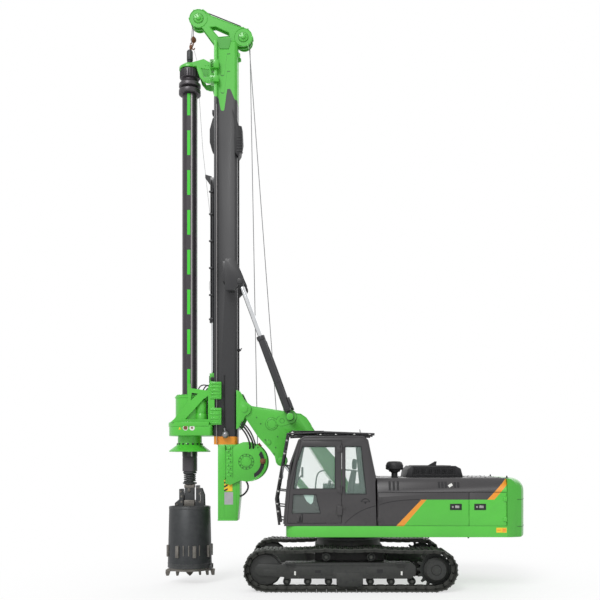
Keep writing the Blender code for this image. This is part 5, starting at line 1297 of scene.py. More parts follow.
def hydraulic(kind, side, sign):
    # a cylinder: barrel with its gland, eye and pipe, and a rod with its eye
    spec = cylinders[kind]
    radius, length, rod, eyeHalf = spec["radius"], spec["length"], spec["rod"], spec["eyeHalf"]
    y = sign * spec["y"]
    start, end = [Vector((x, y, z)) for x, z in (boomSpec[kind + "Foot"], boomSpec[kind + "Eye"])]
    reach = (end - start).length
    profile = [(0, 0.1), (eyeHalf, 0.1), (radius - 0.004, 0.128), (radius, 0.134), (radius, length - 0.092),
               (radius + 0.014, length - 0.086), (radius + 0.014, length - 0.012), (radius + 0.008, length),
               (rod + 0.004, length + 0.004), (rod + 0.002, 0.2), (0, 0.19)]
    barrel = turnedAlong(profile, start, end, 48)
    ring = turnedAlong([(radius, 0.17), (radius + 0.007, 0.175), (radius + 0.007, 0.205), (radius, 0.21),
                        (radius, 0.17)], start, end, 48)
    lug = disc((start.x, start.z), y - eyeHalf, y + eyeHalf, 0.085, 0.006)
    neck = bar(start, alongLine(start, end, 0.14), eyeHalf - 0.002, 0)
    off = Vector((1, 0, 0)) * (radius + 0.02)
    low, high = alongLine(start, end, 0.26), alongLine(start, end, length - 0.05)
    turn = (end - start).to_track_quat("Z", "Y").to_matrix().to_4x4()
    valve = setPlace(block((-0.035, 0.035), (-0.03, 0.03), (-0.12, 0.12), 0.006),
                     Matrix.Translation(alongLine(start, end, 0.33) - off * 1.15) @ turn)
    pipe = hose([low - off * 0.7, alongLine(start, end, 0.3) - off,
                 alongLine(start, end, length - 0.12) - off, high - off * 0.8], 0.011)
    clamps = []
    for rise in (0.42 * length, 0.7 * length):
        clamps.append(turnedAlong([(radius + 0.001, rise), (radius + 0.006, rise + 0.004),
                                   (radius + 0.006, rise + 0.024), (radius + 0.001, rise + 0.028),
                                   (radius + 0.001, rise)], start, end, 40))
    fittings("barrel_%s_%s" % (kind, side), kind + "_barrels", spec["paint"], barrel, ring, lug, neck, valve,
             pipe, *clamps, nodes=("%s_barrel_%s" % (kind, side),))
    shown = spec["shaftFrom"]
    shaft = turnedAlong([(0, shown), (rod, shown + 0.01), (rod, reach - 0.14), (rod - 0.004, reach - 0.13),
                         (0, reach - 0.129)], start, end, 40)
    finish(shaft, "shaft_%s_%s" % (kind, side), kind + "_rods", chrome, "%s_rod_%s" % (kind, side))
    rodEye = [disc((end.x, end.z), y - eyeHalf, y + eyeHalf, 0.082, 0.006),
              bar(alongLine(start, end, reach - 0.16), end, min(rod, eyeHalf) - 0.002, 0)]
    fittings("eye_%s_%s" % (kind, side), kind + "_rods", spec["paint"], *rodEye)


def buildCylinders():
    for side, sign in (("left", 1), ("right", -1)):
        for kind in cylinders:
            hydraulic(kind, side, sign)


def capsule(first, second, radii, low, high):
    # a plate with two round ends of their own radii
    lean = math.degrees(math.atan2(second[1] - first[1], second[0] - first[0]))
    outline = arc(second, radii[1], lean - 90, lean + 90, 14) + arc(first, radii[0], lean + 90,
        lean + 270, 16)
    return plate(outline, low, high, 0.004)


def ringLine(place, radius, y, thick=0.0045, start=0, end=360):
    return bead(raised(arc(place, radius, start, end, 32), y), thick)


def buildBoomDetail():
    spec = boomSpec
    face = half["boom"]
    rings = [ringLine(spec["winch"], 0.136, face + 0.001), ringLine(spec["winch"], 0.1, face + 0.01),
        ringLine((1.475, 3.583), 0.115, face + 0.001, start=-60, end=120), ringLine((1.295, 3.672), 0.158,
        face + 0.001, start=60, end=300), ringLine(spec["luffEye"], 0.088, face + 0.001),
        ringLine((1.76, 3.11), 0.058, face + 0.001), ringLine((0.22, 2.38), 0.088, face + 0.001),
        ringLine((1.461, 3.585), 0.05, face + 0.013), ringLine((1.297, 3.673), 0.06, face + 0.013),
        boltHeads([(px, face, pz) for px, pz in ((1.83, 3.17), (1.99, 3.0), (2.02, 3.66), (1.93, 3.52),
        (1.6, 3.0), (1.64, 2.86), (1.56, 3.24), (1.14, 3.35), (0.96, 3.22))], 0.013)]
    fittings("boom_rings", "boom", deepLime, bothSides(*rings))
    pads = [capsule((1.295, 3.672), (1.475, 3.583), (0.155, 0.112), face - 0.004, face + 0.013),
        boltedDisc(spec["winch"], face - 0.004, face + 0.01, 0.132, 10),
        boltedDisc((1.76, 3.11), face - 0.004, face + 0.007, 0.055, 4, 0.008),
        disc(spec["luffEye"], face - 0.004, face + 0.016, 0.085), disc(spec["pivot"], face - 0.004,
        face + 0.018, 0.1), disc((0.22, 2.38), face - 0.004, face + 0.01, 0.085)]
    pads.append(boltHeads(ringPlaces((spec["pivot"][0], face + 0.018, spec["pivot"][1]), 0.062, 4),
        0.012))
    pads.append(boltHeads(ringPlaces((spec["luffEye"][0], face + 0.016, spec["luffEye"][1]), 0.05, 3),
        0.011))
    pads.append(block((2.12, 2.2), (face - 0.002, face + 0.008), (3.76, 3.8), 0.003))
    upper = [(2.2, 3.905), (1.43, 3.79), (1.163, 3.742), (1.05, 3.728), (0.94, 3.645), (0.85, 3.515),
        (0.795, 3.4), (0.545, 3.02), (0.31, 2.765), (-0.13, 1.97)]
    under = [(0.11, 1.77), (0.31, 2.17), (0.485, 2.385), (0.88, 3.015), (1.22, 3.365)]
    beads = [bead(raised(line, face - 0.001), 0.006) for line in (upper, under)]
    fittings("boom_pads", "boom", limePaint, bothSides(*pads, *beads))
    caps = []
    for sign in (-1, 1):
        low, high = sorted((sign * 0.496, sign * 0.54))
        caps.append(disc(spec["tiltFoot"], low, high, 0.078, 0.006))
    fittings("tilt_pin_caps", "boom", limePaint, *caps)
    lines = []
    for y in (-0.2, -0.14, -0.08, 0.08, 0.14, 0.2):
        lines.append(hose([(0.05, y, 2.2), (0.24, y, 2.62), (0.54, y, 3.0), (0.8, y, 3.45),
            (1.0, y, 3.69), (1.4, y, 3.77), (1.7, y, 3.8), (1.95, y, 3.76)], 0.017))
    for x, z in ((0.4, 2.83), (0.66, 3.2), (1.25, 3.735)):
        lines.append(block((x - 0.02, x + 0.02), (-0.25, 0.25), (z - 0.035, z + 0.035), 0.006))
    fittings("boom_hoses", "boom", rubberAndPaintedShade, *lines)
    shackle = hose([(2.36, 0.3, 3.97), (2.4, 0.3, 4.02), (2.4, 0.3, 4.1), (2.35, 0.3, 4.15),
        (2.29, 0.3, 4.12), (2.28, 0.3, 4.04), (2.33, 0.3, 3.99)], 0.012)
    fittings("nose_shackle", "mast", blackPaint, shackle)


def ropeCoils(place, drum, wide, strand=0.022):
    # one layer of rope on a drum, as a row of round turns
    profile = [(drum - 0.01, -wide)]
    count = int(2 * wide / strand)
    for number in range(count):
        z = -wide + (number + 0.5) * strand
        profile += [(drum + 0.004, z - strand * 0.5), (drum + 0.016, z - strand * 0.3), (drum + 0.02, z),
            (drum + 0.016, z + strand * 0.3)]
    profile += [(drum + 0.004, wide), (drum - 0.01, wide), (drum - 0.01, -wide)]
    return spun(profile, (place[0], 0, place[1]), "Y", 56)


def buildWinch(name, body, place, drum, flange, wide, node):
    plates = []
    for sign in (-1, 1):
        outer, inner = sign * wide, sign * (wide - 0.02)
        plates.append(spun([(0, outer), (flange - 0.006, outer), (flange, outer - sign * 0.005),
            (flange, inner + sign * 0.003), (flange - 0.006, inner), (0, inner)], (place[0], 0, place[1]),
            "Y", 64))
    core = pinY(place, -wide + 0.01, wide - 0.01, drum, 0, 48)
    fittings(name, body, cylinderPaint, *plates, core, nodes=(node,))
    fittings(name + "_rope", body, ropeSteel, ropeCoils(place, drum, wide - 0.022))


buildCylinders()
buildBoomDetail()
buildWinch("aux_drum", "aux_winch", boomSpec["winch"], 0.15, 0.19, 0.2, "aux_winch_drum")
print("boom done")


# Mast, head and winch

mast = {
    "rear": 2.46,
    "front": 2.9,
    "rail": 2.96,
    "railSide": 0.3,
    "bottom": 3.07,
    "top": 11.95,
    "winch": (2.23, 2.69),
    "crowdX": 3.025,
    "frontSheave": (3.332, 12.55),
    "rearSheave": (2.335, 12.13),
    "headFace": 0.08,
    "auxY": -0.13,
}


def buildSheaves():
    rim = 0.15
    profile = [(0, -0.043), (0.055, -0.043), (0.06, -0.038), (0.07, -0.014), (rim - 0.042, -0.012),
        (rim - 0.03, -0.033), (rim - 0.002, -0.035), (rim, -0.03), (rim - 0.018, -0.008),
        (rim - 0.021, 0.0), (rim - 0.018, 0.008), (rim, 0.03), (rim - 0.002, 0.035), (rim - 0.03, 0.033),
        (rim - 0.042, 0.012), (0.07, 0.014), (0.06, 0.038), (0.055, 0.043), (0, 0.043)]
    for end in ("front", "rear"):
        place = mast[end + "Sheave"]
        for kind, y in (("main", 0.0), ("aux", mast["auxY"])):
            wheel = spun(profile, (place[0], y, place[1]), "Y", 56)
            finish(wheel, "sheave_%s_%s" % (end, kind), end + "_sheaves", toolSteel,
                "%s_sheave_%s" % (end, kind))


def buildHead():
    front, rear = mast["frontSheave"], mast["rearSheave"]
    outline = [*arc(front, 0.2, -110, 115, 18), (3.06, 12.6), (2.39, 12.34), *arc(rear, 0.2, 95, 265, 16),
        (2.44, 11.93), (2.46, 11.9505), (2.96, 11.9505)]
    window = ((3.089, 12.358), (2.951, 12.372), (2.652, 12.238), (2.642, 12.152), (2.887, 12.128))
    face = mast["headFace"]
    sides = bothSides(cutPlate(outline, (window,), face - 0.03, face, 0.004))
    rim = bothSides(loop(raised(window, face), 0.01))
    foot = block((2.53, 2.92), (-0.19, 0.19), (11.9505, 12.01), 0.004)
    pins = [pinY(place, -0.18, face - 0.01, 0.045) for place in (front, rear)]
    pins += [disc(place, -0.194, -0.174, 0.195) for place in (front, rear)]
    stays = [pinY(place, -face + 0.02, face - 0.02, 0.022) for place in ((3.16, 12.55), (2.5, 12.27),
        (2.56, 12.07), (3.02, 12.12))]
    fittings("head_frame", "mast", limePaint, sides, rim, foot, *pins, *stays, nodes=("mast_head",))


def buildHeadDetail():
    face = mast["headFace"]
    front, rear = mast["frontSheave"], mast["rearSheave"]
    parts = []
    for place in (front, rear):
        parts.append(boltedDisc(place, face - 0.003, face + 0.012, 0.105, 8))
        parts.append(disc(place, face + 0.008, face + 0.03, 0.045))
        parts.append(bead(raised(arc(place, 0.198, 0, 360, 28), face + 0.002), 0.007))
    for x, z in (arc(front, 0.205, -60, 60, 2) + arc(rear, 0.205, 120, 240, 2)):
        parts.append(pinY((x, z), -face - 0.01, face + 0.01, 0.016, 0.003, 16))
    topLine = [(3.24, 12.748), (3.06, 12.606), (2.39, 12.346), (2.315, 12.345)]
    parts.append(bead(raised(topLine, face - 0.006), 0.014, sides=3))
    ribs = [block((2.5, 2.94), (face - 0.012, mast["railSide"] - 0.065), (11.955, 11.985), 0.004),
        boltHeads([(px, face + 0.018, 11.985) for px in (2.56, 2.68, 2.8, 2.9)], 0.012, normal=(0, 0, 1))]
    fittings("head_fittings", "mast", limePaint, bothSides(*ribs), *parts)
    pipe = bead([(3.165, 0.03, 12.7), (3.073, 0.03, 12.668), (2.406, 0.03, 12.402), (2.35, 0.03, 12.335)],
        0.011, sides=3)
    fittings("head_pipe", "mast", rubberAndPaintedShade, pipe)
    lines = [ringLine(front, 0.11, face + 0.001), ringLine(rear, 0.11, face + 0.001),
        ringLine(front, 0.047, face + 0.012), ringLine(rear, 0.047, face + 0.012)]
    fittings("head_lines", "mast", deepLime, *lines)
    gusset = plate([(2.64, 11.79), (2.84, 11.79), (2.905, 12.02), (2.585, 12.02)], 0.2395, 0.252, 0.003)
    fittings("head_gussets", "mast", shadeLime, bothSides(gusset))
    lug = plate([(2.462, 11.66), (2.4, 11.68), (2.4, 11.74), (2.462, 11.8)], 0.1, 0.13, 0.003)
    fittings("mast_lugs", "mast", limePaint, bothSides(lug))


def buildMastDetail():
    side, railSide = half["mast"], mast["railSide"]
    # a thin light strip down each rail's side edge: painted highlight
    edges = [block((2.893, 2.907), (railSide - 0.004, railSide + 0.0003), (mast["bottom"] + 0.02, 10.55),
        0.001, 1)]
    fittings("rail_highlights", "mast", wearAndHighlight, bothSides(*edges))
    wear = block((mast["rail"] - 0.001, mast["rail"] + 0.0004), (0.215, 0.285),
        (mast["bottom"] + 0.03, 11.9), 0, 1)
    fittings("rail_faces", "mast", wearAndHighlight, bothSides(wear))
    dark = [plate([(2.9, 10.47), (3.02, 10.32), (3.083, 10.08), (3.083, 9.8), (3.03, 9.6), (2.9, 9.5)],
        -0.085, 0.085, 0.012, 2), plate([(2.57, 10.47), (2.47, 10.25), (2.4, 10.05), (2.345, 9.88),
        (2.35, 9.6), (2.43, 9.42), (2.5, 9.5), (2.52, 9.8), (2.5, 10.05)], 0.1, 0.268, 0.008, 2),
        block((2.9, 3.03), (-0.07, 0.07), (10.42, 10.52), 0.008),
        plate([(2.462, 10.15), (2.362, 10.12), (2.345, 9.78), (2.395, 9.52), (2.462, 9.42)], -0.13, 0.16,
        0.01, 2), pinY((2.425, 5.174), 0.02, 0.1, 0.03, 0.004, 20),
        bar((2.462, 0.06, 5.174), (2.385, 0.06, 5.174), 0.016),
        bar((2.39, 0.06, 5.19), (2.37, 0.06, 5.215), 0.012), block((2.455, 2.47), (-0.06, 0.06),
        (3.62, 3.7), 0.004)]
    for number in range(6):
        low = 9.52 + number * 0.062
        dark.append(block((2.338, 2.47), (0.14, 0.275), (low, low + 0.022), 0.004))
    for z in (4.4, 5.6, 6.2, 7.4, 8.6):
        dark.append(block((2.44, 2.463), (-0.09, -0.03), (z - 0.02, z + 0.02), 0.004))
    for y in (-0.045, -0.075):
        dark.append(bead([(2.447, y, 3.6), (2.447, y, 9.5)], 0.011, sides=3))
    fittings("mast_boxes", "mast", mouldedBlackAndShade, *dark)
    web = [block((2.532, 2.742), (0.2395, 0.497), (6.6, 6.618), 0.004),
        plate([(2.62, 6.42), (2.74, 6.6), (2.5, 6.6), (2.5, 6.42)], 0.2395, 0.275, 0.004),
        disc(boomSpec["tiltEye"], 0.52, 0.545, 0.06), disc(boomSpec["tiltEye"], 0.355, 0.38, 0.06),
        block((2.52, 2.745), (0.498, 0.506), (6.615, 7.045), 0.004),
        boltHeads([(2.555, 0.506, z) for z in (6.66, 6.83, 7.0)], 0.011)]
    fittings("tilt_brackets", "mast", bracketPaint, bothSides(*web))
    x = mast["crowdX"]
    tube = [turnedAlong([(0.036, 0), (0.062, 0.0), (0.069, 0.008), (0.069, 0.105), (0.062, 0.115),
        (0.056, 0.118), (0.056, 3.08), (0.036, 3.08), (0.036, 0)], (x, 0, 5.785), (x, 0, 9.0), 40),
        block((mast["front"], x + 0.05), (-0.052, 0.052), (8.775, 9.025), 0.006),
        plate([(3.0, 8.86), (3.06, 8.84), (3.19, 9.02), (3.19, 9.1), (3.12, 9.08), (3.05, 9.06)], -0.02,
        0.02, 0.004), block((mast["front"], x), (-0.045, 0.045), (5.94, 6.11), 0.006)]
    for z in (5.86, 6.4, 7.0, 7.6, 8.2, 8.7):
        tube.append(block((x - 0.02, x + 0.075), (0.03, 0.085), (z - 0.018, z + 0.018), 0.005))
    tube.append(hose([(x + 0.03, 0.072, 5.8), (x + 0.036, 0.072, 5.9), (x + 0.036, 0.072, 8.7),
        (x + 0.02, 0.06, 8.95)], 0.012))
    finish(joined(tube), "crowd_tube", "mast", cylinderPaint, "crowd_barrel")
    clip = loop([(3.092, 0.05, 6.7), (3.055, 0.05, 6.72), (3.03, 0.05, 6.68), (3.03, 0.05, 6.52),
        (3.055, 0.05, 6.49), (3.092, 0.05, 6.51)], 0.004)
    fittings("rope_clip", "mast", zincAndHighlight, clip)
    dome = [(0.082 * math.cos(a), 0.082 * math.sin(a)) for a in [math.radians(15 * n) for n in range(-4,
        7)]]
    silver = spun([(0, -0.075), (0.034, -0.075), *dome], (2.706, railSide + 0.01, 3.285), "Y", 40)
    knob = bar((2.722, railSide - 0.02, 3.34), (2.732, railSide - 0.02, 3.43), 0.02)
    fittings("level_sensor", "mast", silverPaint, silver, knob)
    cable = hose([(2.735, side + 0.012, 4.6), (2.738, side + 0.012, 3.9), (2.73, side + 0.05, 3.44)],
        0.009)
    fittings("sensor_cable", "mast", rubberAndPaintedShade, cable)


def buildFootDetail():
    side = half["mast"]
    face = 0.2986
    x, z = mast["winch"]
    bolts = [boltHeads(ringPlaces((x + 0.02, face, z), 0.15, 12), 0.012, 0.01)]
    steps = [boltedDisc((x + 0.02, z), face - 0.002, face + 0.012, 0.115, 8)]
    for number in range(9):
        low = 2.36 + number * 0.075
        wide = 0.03 if number % 2 else 0.012
        steps.append(block((2.575 - wide, 2.655 + wide), (face - 0.004, face + 0.01), (low, low + 0.058),
            0.004))
        bolts.append(boltHeads([(2.615 + (0.02 if number % 2 else -0.02), face + 0.01, low + 0.03)],
            0.011, 0.01))
    sides = [plate([(2.715, 2.3), (2.735, 2.3), (2.735, 3.06), (2.715, 3.06)], side - 0.002, face + 0.004,
        0.002), block((2.46, 2.885), (side - 0.002, side + 0.008), (1.388, 1.42), 0.003),
        bead(raised([(2.745, 1.44), (2.745, 2.28)], side + 0.001), 0.004),
        bead(raised([(2.475, 1.44), (2.47, 2.28)], side + 0.001), 0.006),
        bead(raised(arc((x, z), 0.432, 116, 258, 30), face + 0.001), 0.01, sides=2),
        bead(raised(arc((x, z), 0.392, 144, 244, 24), face + 0.001), 0.007, sides=2)]
    fittings("winch_plates", "mast", limePaint, bothSides(*steps, *sides))
    bolts += [ringLine((x + 0.02, z), 0.17, face + 0.001), ringLine((x + 0.02, z), 0.118, face + 0.012),
        bead(raised([(2.7, 2.32), (2.7, 3.05)], face + 0.001), 0.004),
        bead(raised([(2.545, 2.34), (2.545, 3.05)], face + 0.001), 0.004)]
    fittings("winch_bolts", "mast", deepLime, bothSides(*bolts))
    # a dark crescent plate on the face where the slot would be: painted shade
    crescent = arc((x, z), 0.385, 142, 246, 14) + arc((x, z), 0.3, 240, 148, 12)
    fittings("winch_slot_shade", "mast", rubberAndPaintedShade, bothSides(plate(crescent, face - 0.001, face + 0.0015, 0)))
    motor = [turnedAlong([(0, 0), (0.085, 0), (0.09, 0.01), (0.09, 0.1), (0.07, 0.12), (0.07, 0.16),
        (0, 0.165)], (x, -face, z), (x, -0.7, z), 36)]
    fittings("winch_motor", "mast", blackPaint, *motor)
    hazard = block((2.56, 2.745), (side + 0.0002, side + 0.0024), (2.04, 2.292), 0.001, 1)
    fittings("hazard_plate", "mast", hazardPaint, hazard)
    grey = block((2.545, 2.738), (side + 0.0002, side + 0.0024), (1.745, 2.02), 0.001, 1)
    fittings("blank_plate", "mast", greyPlate, grey)
    knob = spun([(0, 0), (0.05, 0), (0.062, 0.015), (0.062, 0.05), (0.03, 0.075), (0, 0.08)],
        (1.885, face - 0.02, 2.7), "Y", 32)
    tail = bar((1.8, 0.285, 2.76), (1.9, 0.285, 2.66), 0.018)
    fittings("winch_sensor", "mast", bronze, knob, tail)
    hoses = [hose([(2.3, 0.1, 2.3), (2.2, 0.16, 2.18), (2.22, 0.2, 2.05), (2.32, 0.2, 1.95),
        (2.41, 0.16, 1.92)], 0.02), hose([(2.36, 0.43, 3.52), (2.27, 0.435, 3.44), (2.15, 0.435, 3.26),
        (2.08, 0.4, 3.08), (2.1, 0.26, 2.96)], 0.02),
        hose([(2.38, 0.42, 3.46), (2.28, 0.425, 3.36), (2.19, 0.425, 3.2), (2.15, 0.38, 3.04),
        (2.18, 0.26, 2.96)], 0.018), hose([(2.34, 0.42, 3.56), (2.22, 0.43, 3.46), (2.1, 0.43, 3.28),
        (2.06, 0.36, 3.12), (2.03, 0.24, 3.0)], 0.016),
        hose([(2.1, 0.23, 3.0), (2.03, 0.24, 2.93), (1.97, 0.24, 3.0), (1.955, 0.24, 3.08)], 0.014)]
    fittings("winch_hoses", "mast", rubberAndPaintedShade, *hoses)
    joint = [bar((1.93, 0.24, 3.02), (1.985, 0.24, 3.09), 0.03, 0.004, 6),
        bar((1.965, 0.24, 2.985), (1.99, 0.24, 3.01), 0.022, 0.003, 6)]
    fittings("hose_fittings", "mast", bronze, *joint)
    ears = []
    for height in (3.5, 3.58, 4.08):
        ears.append(boltHeads([(2.445, sign * 0.325, height) for sign in (-1, 1)], 0.014, 0.014,
            normal=(-1, 0, 0)))
    fittings("bracket_bolts", "mast", limePaint, *ears)


buildSheaves()
buildHead()
buildHeadDetail()
buildMastDetail()
buildFootDetail()
buildWinch("main_drum", "main_winch", mast["winch"], 0.21, 0.36, 0.268, "main_winch_drum")
print("mast done")


# Carriage, kelly and bucket

drill = {
    "x": 3.535,
    "deck": 3.557,
    "low": 3.26,
    "drum": 0.314,
    "drumTop": 4.15,
    "kelly": 0.16,
    "kellyLow": 2.476,
    "guideSide": 0.39,
    "blocks": ((3.5, 3.87), (4.06, 4.44)),
}


carriageShape = {
    "side": ((2.94, 3.4953), (3.0447, 3.4953), (3.0447, 3.5573), (3.9, 3.5573), (3.83, 3.62), (3.53, 3.98),
             (3.53, 4.4), (3.46, 4.4), (3.46, 4.3), (3.1, 4.25), (3.04, 4.44), (2.94, 4.44)),
    "windows": (((3.44, 4.2), (3.3, 4.18), (3.46, 4.03)),
                ((3.08, 4.14), (3.08, 3.62), (3.58, 3.62), (3.18, 4.06))),
    "plate": (0.33, 0.37),
    "gearboxHalf": 0.455,
    "gearboxRear": 2.99,
    "gearboxTop": 3.495,
}


def buildCarriage():
    spec = carriageShape
    inner, outer = spec["plate"]
    parts = [bothSides(cutPlate(spec["side"], spec["windows"], inner, outer))]
    for low, high in drill["blocks"]:
        parts.append(block((2.965, 3.045), (-outer, outer), (low, high), 0.005))
        cheeks = [block((2.79, 3.035), (0.3005, outer + 0.02), (low + 0.001, high - 0.001), 0.006),
            block((2.791, 2.825), (0.256, outer + 0.01), (low + 0.002, high - 0.002), 0.004)]
        parts.append(bothSides(*cheeks))
    parts.append(block((2.975, 3.085), (-0.07, 0.07), (4.4, 4.66), 0.008))
    fittings("carriage_shell", "carriage", limePaint, *parts, nodes=("carriage_frame",))
    x, wide, rear = drill["x"], spec["gearboxHalf"], spec["gearboxRear"]
    shell = [(rear, -wide + 0.04), (rear + 0.04, -wide), (x, -wide), *arc((x, 0), wide, -86, 86, 30),
        (x, wide), (rear + 0.04, wide), (rear, wide - 0.04)]
    lip = wide + 0.012
    cover = [(3.05, -lip), (x, -lip), *arc((x, 0), lip, -86, 86, 30), (x, lip), (3.05, lip)]
    casing = [plate(shell, drill["low"], spec["gearboxTop"], 0.01, 2, flat=True),
        plate(cover, spec["gearboxTop"] - 0.03, drill["deck"], 0.005, 2, flat=True),
        hoop([(0.2155, 3.5), (drill["drum"], 3.5), (drill["drum"], drill["drumTop"] - 0.006),
        (drill["drum"] - 0.006, drill["drumTop"]), (0.2155, drill["drumTop"])], (x, 0, 0))]
    fittings("gearbox_shell", "carriage", limePaint, *casing, nodes=("rotary_gearbox",))


guideShape = {
    "arm": ((3.025, 11.05), (3.1, 11.05), (3.2, 11.08), (3.29, 11.19), (3.34, 11.34), (3.36, 11.431),
        (3.53, 11.431),
            (3.53, 11.491), (3.39, 11.53), (3.2, 11.585), (3.025, 11.49)),
    "gap": ((3.075, 11.2), (3.19, 11.18), (3.26, 11.38), (3.075, 11.35)),
    "jaws": ((11.03, 11.16), (11.33, 11.51)),
}


def buildKellyGuide():
    spec = guideShape
    parts = [cutPlate(spec["arm"], (spec["gap"],), 0.17, 0.21)]
    for low, high in spec["jaws"]:
        parts += [block((2.9606, 3.045), (0.1, 0.35), (low, high), 0.005),
            block((2.85, 3.035), (0.3006, 0.35), (low + 0.001, high - 0.001), 0.006),
            block((2.851, 2.8894), (0.256, 0.34), (low + 0.002, high - 0.002), 0.004)]
    arm = joined(parts)
    cap = hoop([(0.09, 11.4206), (0.235, 11.4206), (0.235, 11.466), (0.229, 11.474), (0.15, 11.54),
        (0.09, 11.5406)], (drill["x"], 0, 0), sides=72)
    bolts = boltHeads([(px, 0.2101, pz) for px in (3.1, 3.16) for pz in (11.1, 11.44)], 0.011)
    cheekBolts = boltHeads([(2.99, 0.3501, z) for z in (11.075, 11.115, 11.37, 11.42, 11.47)], 0.01)
    fittings("kelly_guide_arms", "kelly_guide", limePaint, bothSides(arm, bolts, cheekBolts), cap,
        nodes=("kelly_guide",))


bucketShape = {
    "frontStep": ((0.13, 1.697), (0.315, 1.697), (0.315, 1.775), (0.218, 1.855), (0.218, 2.085),
        (0.147, 2.085), (0.13, 1.9)),
    "rearStep": ((-0.13, 1.697), (-0.333, 1.697), (-0.325, 1.95), (-0.27, 2.1), (-0.16, 2.1), (-0.16, 1.9)),
    "teeth": ((0.473, 0.05), (0.255, 0.036), (-0.21, 0.036), (-0.375, 0.045), (-0.5, 0.055)),
    "gateTop": 0.3447,
    "radius": 0.475,
}


def buildBucket():
    x, spec = drill["x"], bucketShape
    radius = spec["radius"]
    reach = radius - 0.04
    parts = [block((x - reach, x + reach), (-0.025, 0.025), (1.577, 1.695), 0.004),
        block((x - 0.024, x + 0.024), (-reach, reach), (1.578, 1.694), 0.004),
        block((x - 0.335, x + 0.32), (-0.15, 0.15), (1.667, 1.709), 0.006),
        block((x - 0.1, x + 0.1), (-0.1, 0.1), (1.697, 2.188), 0.008), block((x + 0.15, x + 0.214),
        (-0.12, 0.12), (1.7, 2.083), 0.006), block((x - 0.215, x - 0.15), (-0.12, 0.12), (1.7, 2.165),
        0.006)]
    for outline in (spec["frontStep"], spec["rearStep"]):
        line = [(x + px, z) for px, z in outline]
        parts += [plate(line, y - 0.018, y + 0.018, 0.004) for y in (-0.115, 0.115)]
    for y in (-0.15, 0.15):
        parts.append(block((x - 0.502, x - 0.457), (y - 0.02, y + 0.02), (0.3, 0.405), 0.004))
    fittings("bucket_frame", "kelly_core", toolSteel, *parts, nodes=("drilling_bucket",))
    top = spec["gateTop"]
    gate = [spun([(0, top), (0.439, top), (0.445, top - 0.006), (0.445, top - 0.054), (0.439, top - 0.06),
        (0, top - 0.06)], (x, 0, 0), sides=72), block((x - radius - 0.01, x - radius + 0.09),
        (-0.1295, 0.1295), (top - 0.045, top - 0.004), 0.005)]
    for sign in (-1, 1):
        gate.append(block((x + sign * 0.05, x + sign * (radius + 0.01)),
            (sign * 0.06 - 0.05, sign * 0.06 + 0.05), (top - 0.09, top - 0.03), 0.006))
    for offset, wide in spec["teeth"]:
        px = x + offset
        y, lean = (0.06, 0.012) if offset > 0 else (-0.06, -0.012)
        tooth = [(px - wide, top - 0.05), (px + wide, top - 0.05), (px + wide * 0.9 + lean, top - 0.12),
            (px + wide * 0.55 + lean, top - 0.19), (px - wide * 0.55 + lean, top - 0.19),
            (px - wide * 0.8, top - 0.11)]
        gate.append(plate(tooth, y - 0.04, y + 0.04, 0.006, 2))
    fittings("gate_plate", "bucket_gate", toothSteel, *gate, nodes=("bucket_gate",))


